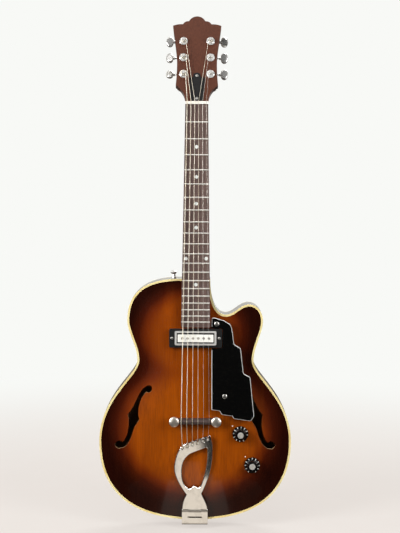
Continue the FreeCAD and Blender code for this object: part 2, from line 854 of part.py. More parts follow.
def tuner_places():
    """Side (-1 bass, 1 treble) and rise of each post, in string order from the bass."""
    rises = [mm("first_post_rise") + step * mm("post_spacing") for step in range(3)]
    return [(-1, rise) for rise in rises] + [(1, rise) for rise in reversed(rises)]


def truss_axis():
    """Depth of the truss rod's middle line behind the fretboard's face."""
    return mm("board_thickness") + mm("truss_rod_depth")


def make_neck():
    nut_end = mm("scale_length") + mm("nut_thickness")
    wide = mm("board_end_width")
    head = front_prism(head_face(), 0.0, mm("head_thickness"))
    for side, rise in tuner_places():
        centre = Vector(side * mm("post_reach"), -mm("overrun"), rise)
        radius = mm("bushing_tube_radius") + mm("running_fit")
        head = head.cut(rod(radius, mm("head_thickness") + 2 * mm("overrun"), centre, -TO_FRONT))
    half_pocket = mm("truss_pocket_width") / 2
    pocket = block(Vector(-half_pocket, -mm("overrun"), mm("truss_pocket_low")),
                   Vector(half_pocket, mm("truss_pocket_depth"), mm("truss_pocket_high")))
    head = head.cut(pocket)
    head = put(head, neck_frame().inverse().multiply(head_frame()))
    half_tongue = board_half_width(joint_place()) - mm("tongue_inset")
    tongue = block(Vector(-half_tongue, mm("board_thickness"), board_end()),
                   Vector(half_tongue, mm("board_thickness") + mm("neck_heel_depth"), joint_place()))
    board_room = block(Vector(-wide, -wide, 0), Vector(wide, mm("board_thickness"), nut_end))
    neck = neck_shaft().fuse([head, tongue]).cut(board_room)
    rod_low = mm("scale_length") - mm("truss_rod_length")
    channel_radius = mm("truss_rod_diameter") / 2 + mm("running_fit")
    channel_length = mm("truss_rod_length") + mm("head_thickness")
    neck = neck.cut(rod(channel_radius, channel_length, Vector(0, truss_axis(), rod_low), ALONG_Z))
    neck = put(neck, neck_frame()).cut(BODY_SPACE)
    add_shape("neck", drilled(neck))


def make_truss_rod():
    """The rod in its channel, with its nut in the pocket under the cover."""
    low = mm("scale_length") - mm("truss_rod_length")
    length = mm("truss_rod_length") + mm("nut_thickness") + mm("truss_nut_length") * 2
    straight = rod(mm("truss_rod_diameter") / 2, length, Vector(0, truss_axis(), low), ALONG_Z)
    nut_start = Vector(0, truss_axis(), low + length - mm("truss_nut_length"))
    nut = rod(mm("truss_nut_diameter") / 2, mm("truss_nut_length"), nut_start, ALONG_Z)
    add_shape("truss_rod", straight.fuse(nut).removeSplitter(), neck_frame())


# half of the truss rod cover: straight foot, flared sides and a round ear at the top
TRUSS_SCREW_SHARES = (0.10, 0.90)
TRUSS_COVER_SHARES = ((0.19, 0.02, 0.0), (0.27, 0.85, 0.05), (0.12, 0.85, 0.03), (0.12, 1.0, 0.11))


def make_truss_cover():
    length = mm("truss_cover_length")
    treble = [(x * length, up * length, radius * length) for x, up, radius in TRUSS_COVER_SHARES]
    bass = [(-x, up, radius) for x, up, radius in reversed(treble)]
    cover = front_prism(rounded_face(treble + bass), -mm("truss_cover_thickness"), 0.0)
    add_shape("truss_rod_cover", drilled(put(cover, head_frame())))


def plan_truss_cover_screws():
    length = mm("truss_cover_length")
    outward = head_frame().Rotation.multVec(TO_FRONT)
    for up_share in TRUSS_SCREW_SHARES:
        place = head_frame().multVec(Vector(0, -mm("truss_cover_thickness"), length * up_share))
        add_screw("small", place, outward)


def make_fretboard():
    end = f"scale_length * 2 ^ (0 - {FRET_COUNT} / 12) - board_overhang"
    corners = [("0 - board_end_width / 2", end), ("board_end_width / 2", end),
               ("board_nut_width / 2", "scale_length"), ("0 - board_nut_width / 2", "scale_length")]
    board = padded("fretboard_blank", corners, "board_thickness", neck_frame())
    recesses = Part.makeCompound([dot(place, across) for place, across in dot_places()])
    keep(cut_feature("fretboard", board, put(recesses, neck_frame())), "fretboard")


def dot_places():
    """Distance from the saddle and across for each position dot, halfway between two frets."""
    places = []
    for fret in SINGLE_DOT_FRETS:
        places.append(((fret_place(fret) + fret_place(fret - 1)) / 2, 0.0))
    middle = (fret_place(DOUBLE_DOT_FRET) + fret_place(DOUBLE_DOT_FRET - 1)) / 2
    for side in (-1, 1):
        places.append((middle, side * mm("double_dot_spacing") / 2))
    return places


def dot(place, across):
    return rod(mm("dot_diameter") / 2, mm("dot_depth"), Vector(across, 0, place), -TO_FRONT)


def make_frets_and_dots():
    frets = []
    radius = mm("fret_width") / 2
    for number in range(1, FRET_COUNT + 1):
        place = fret_place(number)
        half_width = board_half_width(place) - mm("fret_end_inset")
        bar = rod(radius, 2 * half_width, Vector(-half_width, 0, place), ALONG_X)
        above = block(Vector(-half_width, -radius, place - radius), Vector(half_width, 0, place + radius))
        frets.append(bar.common(above))
    add_shape("frets", Part.makeCompound(frets), neck_frame())
    dots = [dot(place, across) for place, across in dot_places()]
    add_shape("position_dots", Part.makeCompound(dots), neck_frame())


def string_across(index, spread):
    """Place of a string across the neck; index 0 is the bass string."""
    return mm(spread) * (index / (STRING_COUNT - 1) - 0.5)


def make_nut():
    corners = rectangle("board_nut_width / 2", "scale_length", "scale_length + nut_thickness")
    top = mm("nut_string_lift") + mm("string_one_diameter") / 2
    shift = Placement(Vector(0, -top, 0), Rotation())
    depth = "nut_string_lift + board_thickness + string_one_diameter / 2"
    blank = padded("nut_blank", corners, depth, neck_frame().multiply(shift))
    slots = []
    for index, diameter in enumerate(string_diameters()):
        half_width = diameter / 2 + mm("string_slot_clearance")
        middle = string_across(index, "nut_string_spread")
        low = Vector(middle - half_width, -top - mm("overrun"), mm("scale_length") - mm("overrun"))
        high = Vector(middle + half_width, -mm("nut_string_lift") + mm("string_seat_gap"),
                      mm("scale_length") + mm("nut_thickness") + mm("overrun"))
        slots.append(block(low, high))
    keep(cut_feature("nut", blank, put(Part.makeCompound(slots), neck_frame())), "nut")


# Tuners

WORM_TURNS = 4


def gear_depth():
    """Depth of the gears' and worms' middle plane behind the headstock's face."""
    stack = mm("head_thickness") + mm("tuner_plate_thickness") + mm("gear_standoff")
    return stack + mm("gear_width") / 2


def worm_length():
    return WORM_TURNS * mm("worm_pitch") + 2 * mm("worm_root_ridge")


def plate_back():
    return mm("head_thickness") + mm("tuner_plate_thickness")


def gear_shape(centre):
    """A toothed wheel in the head's frame with a gap between teeth facing the crown."""
    points = []
    for tooth in range(GEAR_TEETH):
        middle = 2 * math.pi * (tooth + 0.5) / GEAR_TEETH
        for radius, half_width in ((mm("gear_root_radius"), -mm("gear_root_tooth") / 2),
                                   (mm("gear_tip_radius"), -mm("gear_tip_tooth") / 2),
                                   (mm("gear_tip_radius"), mm("gear_tip_tooth") / 2),
                                   (mm("gear_root_radius"), mm("gear_root_tooth") / 2)):
            angle = middle + math.asin(half_width / radius)
            points.append(centre + Vector(radius * math.sin(angle), 0, radius * math.cos(angle)))
    face = Part.Face(Part.makePolygon(points + points[:1]))
    front = gear_depth() - mm("gear_width") / 2
    return front_prism(face, front, front + mm("gear_width"))


def make_tuner_posts():
    """Each post turns in its bushing and carries its gear behind the plate."""
    back = "0 - (head_thickness + tuner_plate_thickness + gear_standoff + gear_width + post_end_length)"
    chamfer = "post_end_length"
    profile = [("0", back), ("post_radius", back), ("post_radius", f"post_front_length - {chamfer}"),
               (f"post_radius - {chamfer} / 2", "post_front_length"), ("0", "post_front_length")]
    for number, (side, rise) in enumerate(tuner_places(), start=1):
        centre = Vector(side * mm("post_reach"), 0, rise)
        post = turned(f"post_{number}", profile, head_frame().multiply(aimed(centre, TO_FRONT)))
        gear = document.addObject("Part::Feature", f"gear_{number}")
        gear.Shape = put(gear_shape(centre), head_frame())
        joined = document.addObject("Part::Fuse", f"post_with_gear_{number}")
        joined.Base = post
        joined.Tool = gear
        keep(joined, f"tuner_post_{number}")


def worm_thread():
    """The helical ridge of a worm along Z, with a ridge at the middle on the +X side."""
    height = WORM_TURNS * mm("worm_pitch")
    helix = Part.makeHelix(mm("worm_pitch"), height, mm("worm_tip_radius"))
    inner = mm("worm_root_radius") - mm("worm_sink")
    root = mm("worm_root_ridge") / 2
    tip = mm("worm_tip_ridge") / 2
    corners = [Vector(inner, 0, -root), Vector(mm("worm_tip_radius"), 0, -tip),
               Vector(mm("worm_tip_radius"), 0, tip), Vector(inner, 0, root)]
    ridge = Part.Wire(helix).makePipeShell([Part.makePolygon(corners + corners[:1])], True, True)
    ridge.translate(Vector(0, 0, -height / 2))
    return ridge


def key_button(centre_place, turn):
    """An oval button with rounded rims, its flat sides facing front and back before it is turned."""
    half = mm("button_thickness") / 2
    centre = Vector(0, -half, centre_place)
    tall = centre + Vector(mm("button_height") / 2, 0, 0)
    wide = centre + Vector(0, 0, mm("button_width") / 2)
    face = Part.Face(Part.Wire(Part.Ellipse(tall, wide, centre).toShape()))
    solid = face.extrude(Vector(0, mm("button_thickness"), 0))
    rims = [edge for edge in solid.Edges if len(edge.Vertexes) == 1]
    solid = solid.makeFillet(mm("button_rounding"), rims)
    solid.rotate(Vector(0, 0, 0), ALONG_Z, turn)
    return solid


def key_shape(turn):
    """Button, collar, worm and the journals that run in the plate's lugs, along Z."""
    half_worm = worm_length() / 2
    button_centre = mm("button_reach") - mm("post_reach")
    button_foot = button_centre - mm("button_width") / 2
    inner_end = -half_worm - mm("lug_gap") - mm("lug_thickness") - mm("lug_gap")
    sink = mm("worm_sink")
    core = rod(mm("worm_root_radius"), 2 * (half_worm + sink), Vector(0, 0, -half_worm - sink), ALONG_Z)
    inner = rod(mm("key_shaft_radius"), -half_worm - inner_end, Vector(0, 0, inner_end), ALONG_Z)
    outer = rod(mm("key_shaft_radius"), button_centre - half_worm, Vector(0, 0, half_worm), ALONG_Z)
    collar = rod(mm("button_collar_radius"), mm("button_collar_length"),
                 Vector(0, 0, button_foot - mm("button_collar_length") / 2), ALONG_Z)
    return core.fuse([inner, outer, collar, key_button(button_centre, turn), worm_thread()])


def key_placement(side, rise):
    """Worm beside its gear on the crown side; the key's +X faces the gear and its Z points outwards."""
    turn = Rotation(Vector(0, 0, -1), Vector(0, side, 0), Vector(side, 0, 0), "ZXY")
    place = Vector(side * mm("post_reach"), gear_depth(), rise + mm("worm_centre_distance"))
    return head_frame().multiply(Placement(place, turn))


def make_tuner_keys():
    for number, (side, rise) in enumerate(tuner_places(), start=1):
        shape = key_shape(BUTTON_TURNS[number - 1])
        add_shape(f"tuner_key_{number}", shape, key_placement(side, rise))


def plate_screw_rises():
    """The plate's screws lie below the first post, between posts and above the last."""
    low = mm("first_post_rise") - mm("post_spacing") / 2 - mm("small_screw_head_radius")
    return [low + step * mm("post_spacing") for step in range(4)]


def plan_tuner_screws():
    outward = head_frame().Rotation.multVec(-TO_FRONT)
    for side in (-1, 1):
        for rise in plate_screw_rises():
            place = Vector(side * mm("post_reach"), plate_back(), rise)
            add_screw("small", head_frame().multVec(place), outward)


def tuner_plate(side):
    """One strip for three tuners, with two lugs for each key."""
    middle = side * (mm("post_reach") + mm("tuner_plate_shift"))
    half_width = mm("tuner_plate_width") / 2
    low = mm("tuner_plate_low")
    high = low + mm("tuner_plate_length")
    corner = mm("tuner_plate_corner")
    corners = [(middle - half_width, low, corner), (middle + half_width, low, corner),
               (middle + half_width, high, corner), (middle - half_width, high, corner)]
    plate = front_prism(rounded_face(corners), mm("head_thickness"), plate_back())
    for plate_side, rise in tuner_places():
        if plate_side != side:
            continue
        centre = Vector(side * mm("post_reach"), 0, rise)
        axis = rise + mm("worm_centre_distance")
        for lug_side in (-1, 1):
            near = worm_length() / 2 + mm("lug_gap")
            lug_middle = centre.x + lug_side * (near + mm("lug_thickness") / 2)
            half_thick = mm("lug_thickness") / 2
            half_wide = mm("lug_width") / 2
            lug_low = Vector(lug_middle - half_thick, mm("head_thickness"), axis - half_wide)
            lug_high = Vector(lug_middle + half_thick, gear_depth() + half_wide, axis + half_wide)
            plate = plate.fuse(block(lug_low, lug_high))
        key_hole = rod(mm("key_shaft_radius") + mm("running_fit"), 2 * mm("tuner_plate_width"),
                       Vector(centre.x - mm("tuner_plate_width"), gear_depth(), axis), ALONG_X)
        post_hole = rod(mm("post_radius") + mm("running_fit"), gear_depth(), centre, -TO_FRONT)
        plate = plate.cut(key_hole).cut(post_hole)
    return drilled(put(plate.removeSplitter(), head_frame()))


def make_tuner_plates():
    add_shape("tuner_plates", Part.makeCompound([tuner_plate(-1), tuner_plate(1)]))


def make_bushings():
    bore = "post_radius + running_fit"
    profile = [(bore, "0 - bushing_tube_length"), ("bushing_tube_radius", "0 - bushing_tube_length"),
               ("bushing_tube_radius", "0"), ("bushing_flange_radius", "0"),
               ("bushing_flange_radius", "bushing_flange_thickness / 2"),
               ("bushing_tube_radius", "bushing_flange_thickness"), (bore, "bushing_flange_thickness")]
    bushings = []
    for number, (side, rise) in enumerate(tuner_places(), start=1):
        centre = Vector(side * mm("post_reach"), 0, rise)
        bushings.append(turned(f"bushing_{number}", profile, head_frame().multiply(aimed(centre, TO_FRONT))))
    group = document.addObject("Part::Compound", "bushing_set")
    group.Links = bushings
    keep(group, "tuner_bushings")


# Strings

def tangent_arc(start, way, end):
    """The arc that leaves a point in a given direction and ends at another."""
    chord = end - start
    aside = way - chord * (way.dot(chord) / chord.dot(chord))
    if aside.Length < way.Length * TINY_SHARE:
        return Part.makeLine(start, end)
    half_turn = way.getAngle(chord)
    sagitta = chord.Length / 2 * math.tan(half_turn / 2)
    return Part.Arc(start, (start + end) * 0.5 + aside.normalize() * sagitta, end).toShape()


def biarc(start, start_way, end, end_way):
    """Two tangent arcs between two points with given directions."""
    run = end - start
    both = start_way + end_way
    spread = 2 * (1 - start_way.dot(end_way))
    reach = (-run.dot(both) + math.sqrt(run.dot(both) ** 2 + spread * run.dot(run))) / spread
    middle = (start + end + (start_way - end_way) * reach) * 0.5
    second = tangent_arc(end, end_way * -1, middle)
    return [tangent_arc(start, start_way, middle), second]


def post_winding(index, nut_point):
    """Where a string meets its post, and the edges of its turns down the post, in the shared frame."""
    diameter = string_diameters()[index]
    side, rise = tuner_places()[index]
    radius = mm("post_radius") + mm("winding_clearance") + diameter / 2
    nut_local = head_frame().inverse().multVec(nut_point)
    across = side * mm("post_reach") - nut_local.x
    along = rise - nut_local.z
    heading = math.atan2(along, across) + side * math.asin(radius / math.hypot(across, along))
    first_angle = heading + side * math.pi / 2
    pitch = diameter + mm("winding_gap")

    def place(quarter):
        angle = first_angle - side * quarter * math.pi / 2
        depth = -mm("winding_front") + pitch * quarter / 4
        across_post = side * mm("post_reach") + radius * math.cos(angle)
        return Vector(across_post, depth, rise + radius * math.sin(angle))

    def way(quarter):
        angle = first_angle - side * quarter * math.pi / 2
        turn = radius * math.pi / 2
        return Vector(side * turn * math.sin(angle), pitch / 4, -side * turn * math.cos(angle)).normalize()

    to_shared = head_frame()
    first = to_shared.multVec(place(0))
    edges = []
    heading_in = (first - nut_point).normalize()
    for quarter in range(WINDING_QUARTER_TURNS):
        start = to_shared.multVec(place(quarter))
        end = to_shared.multVec(place(quarter + 1))
        start_way = heading_in if quarter == 0 else to_shared.Rotation.multVec(way(quarter))
        end_way = to_shared.Rotation.multVec(way(quarter + 1))
        edges += biarc(start, start_way, end, end_way)
    return first, edges


def least_gap(edges, diameter):
    """Smallest clear distance between neighbouring turns, measured on points."""
    points = []
    for edge in edges:
        points += edge.discretize(WINDING_ARC_POINTS)[:-1]
    arcs_in_half_turn = 4
    half_turn = arcs_in_half_turn * (WINDING_ARC_POINTS - 1)
    distances = [one.distanceToPoint(other) for place, one in enumerate(points)
                 for other in points[place + half_turn:]]
    return min(distances) - diameter


def seat(before, corner, after):
    """A path corner moved to the front so that its rounding arc rests just clear of the seat."""
    turn = math.pi - (before - corner).getAngle(after - corner)
    lift = mm("string_bend_radius") * (1 / math.cos(turn / 2) - 1) + mm("string_seat_gap")
    return corner + TO_FRONT * lift


def ball_place(index):
    """Centre of a string's ball in the tailpiece's frame."""
    across = string_across(index, "tail_string_spread")
    up = mm("harp_length") * HARP_EDGE_RISE_SHARE + across * HARP_EDGE_SLOPE_SHARE - mm("ball_inset")
    return Vector(across, 0, up)


def string_points(index):
    """Ball, saddle and nut points on a string's centre line."""
    radius = string_diameters()[index] / 2
    ball = harp_frame().multVec(ball_place(index))
    saddle = neck_frame().multVec(Vector(string_across(index, "bridge_string_spread"),
                                         -mm("bridge_string_lift") - radius, 0))
    nut_back = mm("scale_length") + mm("nut_thickness")
    nut = neck_frame().multVec(Vector(string_across(index, "nut_string_spread"),
                                      -mm("nut_string_lift") - radius, nut_back))
    return ball, saddle, nut


def make_strings():
    for index, diameter in enumerate(string_diameters()):
        ball, saddle, nut = string_points(index)
        post_point, _ = post_winding(index, nut)
        saddle = seat(ball, saddle, nut)
        nut = seat(saddle, nut, post_point)
        post_point, turns = post_winding(index, nut)
        saddle_start, saddle_arc, saddle_end = corner_arc(ball, saddle, nut, mm("string_bend_radius"))
        nut_start, nut_arc, nut_end = corner_arc(saddle, nut, post_point, mm("string_bend_radius"))
        path = Part.Wire([Part.makeLine(ball, saddle_start), saddle_arc, Part.makeLine(saddle_end, nut_start),
                          nut_arc, Part.makeLine(nut_end, post_point)] + turns)
        circle = Part.makeCircle(diameter / 2, ball, (saddle - ball).normalize())
        tube = path.makePipeShell([Part.Wire(circle)], True, False)
        section_volume = math.pi * diameter ** 2 / 4 * path.Length
        print(f"string {index + 1}: gap {least_gap(turns, diameter):.2f} mm, volume share "
              f"{tube.Volume / section_volume:.4f}")
        half_ball = Vector(mm("ball_length") / 2, 0, 0)
        ball_end = rod(mm("ball_radius"), mm("ball_length"), ball - half_ball, ALONG_X)
        add_shape(f"string_{index + 1}", tube.fuse(ball_end))


# Bridge

DOME_ANGLE_SHARES = (0.25, 0.5, 0.75)


def make_bridge():
    """A ridged saddle bar on a foot that follows the top, held by two domed screws."""
    top = -mm("bridge_string_lift")
    shoulder = top + mm("saddle_crown")
    bottom = top + mm("saddle_depth")
    half_bar = mm("bridge_screw_spacing") / 2 + mm("saddle_end_overlap")
    half_width = mm("saddle_width") / 2
    ridge = [Vector(-half_bar, bottom, -half_width), Vector(-half_bar, shoulder, -half_width),
             Vector(-half_bar, top, 0), Vector(-half_bar, shoulder, half_width),
             Vector(-half_bar, bottom, half_width)]
    bar = Part.Face(Part.makePolygon(ridge + ridge[:1])).extrude(Vector(2 * half_bar, 0, 0))
    half_base = mm("bridge_base_length") / 2
    crest = mm("string_rise") - mm("bridge_string_lift")
    base = block(Vector(-half_base, bottom, -mm("bridge_base_width") / 2),
                 Vector(half_base, crest + mm("top_arch"), mm("bridge_base_width") / 2))
    half_relief = half_base - mm("bridge_foot_length")
    relief = block(Vector(-half_relief, crest - mm("bridge_foot_relief"), -mm("bridge_base_width")),
                   Vector(half_relief, crest + mm("top_arch"), mm("bridge_base_width")))
    base = base.cut(relief)
    wheel_back = "saddle_depth - saddle_crown + bridge_wheel_gap"
    dome_foot = f"{wheel_back} + bridge_wheel_edge"
    profile = [("0", "0 - bridge_screw_depth"), ("bridge_screw_radius", "0 - bridge_screw_depth"),
               ("bridge_screw_radius", wheel_back), ("bridge_wheel_radius", wheel_back),
               ("bridge_wheel_radius", dome_foot)]
    for share in DOME_ANGLE_SHARES:
        radius_share = math.cos(share * math.pi / 2)
        rise_share = math.sin(share * math.pi / 2)
        profile.append((f"bridge_wheel_radius * {radius_share:.4f}",
                        f"{dome_foot} + bridge_wheel_dome * {rise_share:.4f}"))
    profile.append(("0", f"{dome_foot} + bridge_wheel_dome"))
    for name, side in (("bass", -1), ("treble", 1)):
        middle = side * mm("bridge_screw_spacing") / 2
        hole_radius = mm("bridge_screw_radius") + mm("running_fit")
        hole_length = mm("bridge_screw_depth") + mm("bridge_wheel_gap") + mm("saddle_depth")
        hole = rod(hole_radius, hole_length, Vector(middle, top, 0), -TO_FRONT)
        base = base.cut(hole)
        room = rod(mm("bridge_wheel_radius") + mm("bridge_wheel_gap"), mm("saddle_crown"),
                   Vector(middle, shoulder, 0), TO_FRONT)
        bar = bar.cut(hole).cut(room)
        seat_place = neck_frame().multiply(aimed(Vector(middle, bottom, 0), TO_FRONT))
        keep(turned(f"{name}_screw_body", profile, seat_place), f"{name}_bridge_screw")
    add_shape("bridge_base", put(base, neck_frame()).cut(UNDER_TOP))
    add_shape("bridge_saddle", put(bar, neck_frame()))


# Tailpiece

# the slanted string edge of the harp: its height on the middle line, and its slope
HARP_EDGE_RISE_SHARE = 0.916
HARP_EDGE_SLOPE_SHARE = 0.352
HARP_OUTER_SHARES = (
    ((0.161, 0.0), (0.155, 0.060), (0.1356, 0.118), (0.087, 0.228)),
    ((0.087, 0.228), (0.150, 0.375), (0.1925, 0.526), (0.2171, 0.7205), (0.209, 0.900), (0.1836, 0.9808)),
    ((0.1836, 0.9808), (-0.0925, 0.8836)),
    ((-0.0925, 0.8836), (-0.1747, 0.8267), (-0.2438, 0.672), (-0.2603, 0.5575), (-0.2226, 0.4027),
     (-0.109, 0.213)),
    ((-0.109, 0.213), (-0.1493, 0.109), (-0.158, 0.055), (-0.161, 0.0)),
    ((-0.161, 0.0), (0.161, 0.0)),
)
HARP_INNER_SHARES = (
    ((0.1356, 0.822), (-0.0514, 0.745)),
    ((-0.0514, 0.745), (-0.1411, 0.638), (-0.1623, 0.525), (-0.1336, 0.355), (-0.0726, 0.280)),
    ((-0.0726, 0.280), (-0.007, 0.329)),
    ((-0.007, 0.329), (0.0377, 0.297)),
    ((0.0377, 0.297), (0.0658, 0.314)),
    ((0.0658, 0.314), (0.1267, 0.508), (0.1514, 0.688), (0.1514, 0.810)),
    ((0.1514, 0.810), (0.1356, 0.822)),
)


def scaled_face(shares, scale):
    return loop_face([[Vector(x * scale, 0, up * scale) for x, up in stretch] for stretch in shares])


def hinge_rod(radius, low, high):
    """A cylinder on the hinge's axis, in the tailpiece's frame."""
    return rod(radius, high - low, Vector(low, 0, 0), ALONG_X)


def harp_bevelled(plate):
    """Bevels the long rims of the harp's front face."""
    front = [edge for edge in plate.Edges
             if edge.BoundBox.YMax < mm("running_fit") - mm("harp_thickness") / 2]
    return plate.makeChamfer(mm("harp_bevel"), front)


def make_tailpiece():
    half = mm("harp_thickness") / 2
    length = mm("harp_length")
    face = scaled_face(HARP_OUTER_SHARES, length).cut(scaled_face(HARP_INNER_SHARES, length))
    harp = harp_bevelled(front_prism(face, -half, half))
    knuckle = mm("hinge_knuckle_width")
    width = mm("hinge_half_width")
    barrel = mm("hinge_barrel_radius")
    clear = barrel + mm("hinge_gap")
    pin_hole = hinge_rod(mm("hinge_pin_radius") + mm("running_fit"), -2 * width, 2 * width)
    for low in (-width - mm("overrun"), knuckle):
        harp = harp.cut(hinge_rod(clear, low, low + width - knuckle + mm("overrun")))
    harp = harp.fuse(hinge_rod(barrel, -knuckle + mm("hinge_gap"), knuckle - mm("hinge_gap"))).cut(pin_hole)
    for index, diameter in enumerate(string_diameters()):
        ball = ball_place(index)
        harp = harp.cut(rod(mm("ball_radius") + mm("string_slot_clearance"), mm("harp_thickness") * 2,
                            ball + TO_FRONT * mm("harp_thickness"), -TO_FRONT))
        ball_room = Vector(mm("ball_length") / 2 + mm("string_slot_clearance"), length, mm("ball_radius"))
        harp = harp.cut(block(ball - ball_room, ball + ball_room))
        half_slot = diameter / 2 + mm("harp_slot_clearance")
        harp = harp.cut(block(ball - Vector(half_slot, length, 0), ball + Vector(half_slot, length, length)))
    add_shape("tailpiece_harp", put(harp, harp_frame()))
    add_shape("tailpiece_hinge_pin", put(hinge_rod(mm("hinge_pin_radius"), -width, width), harp_frame()))
    make_bracket(clear, pin_hole)


def bracket_front():
    return -half_depth() - mm("hinge_lift") - mm("bracket_thickness") / 2


def make_bracket(clear, pin_hole):
    """A leaf in front of the tail that carries the hinge, with a foot under the tail."""
    width = mm("hinge_half_width")
    knuckle = mm("hinge_knuckle_width")
    front = bracket_front()
    leaf = block(Vector(-width, front, -mm("bracket_lip")),
                 Vector(width, front + mm("bracket_thickness"), mm("hinge_height")))
    foot = block(Vector(-width, front, -mm("bracket_thickness")),
                 Vector(width, front + mm("bracket_under_length"), 0))
    half_slot = mm("bracket_slot_half_width")
    slot_low = mm("bracket_slot_rise")
    slot = block(Vector(-half_slot, front - mm("overrun"), slot_low),
                 Vector(half_slot, front + mm("overrun"), slot_low + mm("bracket_slot_height")))
    bracket = leaf.fuse(foot).cut(slot)
    bracket = bracket.cut(put(hinge_rod(clear, -knuckle, knuckle), harp_frame()))
    for low, high in ((-width, -knuckle), (knuckle, width)):
        bracket = bracket.fuse(put(hinge_rod(mm("hinge_barrel_radius"), low, high), harp_frame()))
    bracket = bracket.cut(put(pin_hole.copy(), harp_frame())).removeSplitter()
    add_shape("tailpiece_bracket", drilled(bracket))


def plan_bracket_screws():
    for side in (-1, 1):
        place = Vector(side * mm("hinge_half_width") / 2, -half_depth() / 2, -mm("bracket_thickness"))
        add_screw("wood", place, -ALONG_Z)


# Pickup

def rounded_block(half_length, half_width, radius, front, back, middle):
    """A block with rounded corners around a place on the neck's middle line."""
    corners = [(-half_length, middle - half_width, radius), (half_length, middle - half_width, radius),
               (half_length, middle + half_width, radius), (-half_length, middle + half_width, radius)]
    return front_prism(rounded_face(corners), front, back)


def pole_places():
    return [mm("pole_spacing") * (index - (STRING_COUNT - 1) / 2) for index in range(STRING_COUNT)]


def pole_holes(front, length):
    radius = mm("pole_shank_radius") + mm("screw_clearance")
    return Part.makeCompound([rod(radius, length, Vector(x, front, pickup_centre()), -TO_FRONT)
                              for x in pole_places()])


def frame_top():
    return mm("pickup_top_drop") + mm("pickup_cover_height")


def make_pickup():
    middle = pickup_centre()
    cover_top = mm("pickup_top_drop")
    fit = mm("pickup_fit")
    half_length = mm("pickup_cover_length") / 2
    half_width = mm("pickup_cover_width") / 2
    deep = cover_top + mm("pickup_cover_depth")
    frame = rounded_block(mm("pickup_frame_length") / 2, mm("pickup_frame_width") / 2,
                          mm("pickup_frame_corner"), frame_top(), mm("rim_depth"), middle)
    frame = frame.cut(rounded_block(half_length + fit, half_width + fit, mm("pickup_cover_corner") + fit,
                                    0.0, mm("rim_depth") * 2, middle))
    add_shape("pickup_frame", drilled(put(frame, neck_frame()).cut(UNDER_TOP)))
    wall = mm("pickup_cover_wall")
    cover = rounded_block(half_length, half_width, mm("pickup_cover_corner"), cover_top, deep, middle)
    cover = cover.cut(rounded_block(half_length - wall, half_width - wall, mm("pickup_cover_corner") - wall,
                                    cover_top + wall, deep + wall, middle))
    insert_half_length = mm("pickup_insert_length") / 2
    insert_half_width = mm("pickup_insert_width") / 2
    cover = cover.cut(rounded_block(insert_half_length + fit, insert_half_width + fit, wall + fit,
                                    cover_top - wall, cover_top + wall * 2, middle))
    add_shape("pickup_cover", put(cover, neck_frame()))
    coil_front = cover_top + wall * 2
    insert_front = cover_top - mm("pickup_insert_proud")
    insert = rounded_block(insert_half_length, insert_half_width, wall, insert_front, coil_front, middle)
    insert = insert.cut(pole_holes(insert_front, coil_front - insert_front))
    add_shape("pickup_insert", put(insert, neck_frame()))
    coil = rounded_block(half_length - wall - fit, half_width - wall - fit, mm("coil_rounding"),
                         coil_front, coil_front + mm("coil_height"), middle)
    coil = coil.cut(pole_holes(coil_front, mm("coil_height")))
    add_shape("pickup_coil", put(coil, neck_frame()))
    poles = []
    for x in pole_places():
        centre = Vector(x, insert_front, middle)
        head = rod(mm("pole_head_radius"), mm("pole_head_height"), centre, TO_FRONT)
        shank = rod(mm("pole_shank_radius"), coil_front + mm("coil_height") - insert_front, centre, -TO_FRONT)
        poles.append(head.fuse(shank).removeSplitter())
    add_shape("pole_screws", put(Part.makeCompound(poles), neck_frame()))


def plan_pickup_screws():
    outward = neck_frame().Rotation.multVec(TO_FRONT)
    reach = (mm("pickup_frame_length") + mm("pickup_cover_length")) / 4
    for side in (-1, 1):
        place = neck_frame().multVec(Vector(side * reach, frame_top(), pickup_centre()))
        add_screw("small", place, outward, mm("guard_screw_length"))


# Pickguard

# corners of the stepped plate around the pickup's middle: across, up and rounding
GUARD_SHARES = (
    (0.1535, 0.1984, 0.012), (0.1877, 0.1984, 0.03), (0.2754, 0.1722, 0.06), (0.3353, 0.1353, 0.03),
    (0.3503, 0.0979, 0.03), (0.3722, -0.0572, 0.025), (0.4353, -0.0952, 0.02), (0.4642, -0.3390, 0.025),
    (0.5283, -0.3727, 0.02), (0.5690, -0.7540, 0.03), (0.5348, -0.7989, 0.02), (0.3722, -0.7765, 0.012),
    (0.3578, -0.7503, 0.012), (0.2572, -0.7385, 0.012), (0.2348, -0.7016, 0.012), (0.1572, -0.6914, 0.012),
)
GUARD_SCREW_SHARES = ((0.2027, 0.1385), (0.2834, -0.5615))


def guard_back():
    return mm("guard_drop") + mm("guard_thickness")


def guard_screw_places():
    return [Vector(x * mm("guard_length"), mm("guard_drop"), pickup_centre() + up * mm("guard_length"))
            for x, up in GUARD_SCREW_SHARES]


def plan_guard_screws():
    outward = neck_frame().Rotation.multVec(TO_FRONT)
    for place in guard_screw_places():
        add_screw("guard", neck_frame().multVec(place), outward, mm("guard_screw_length"))


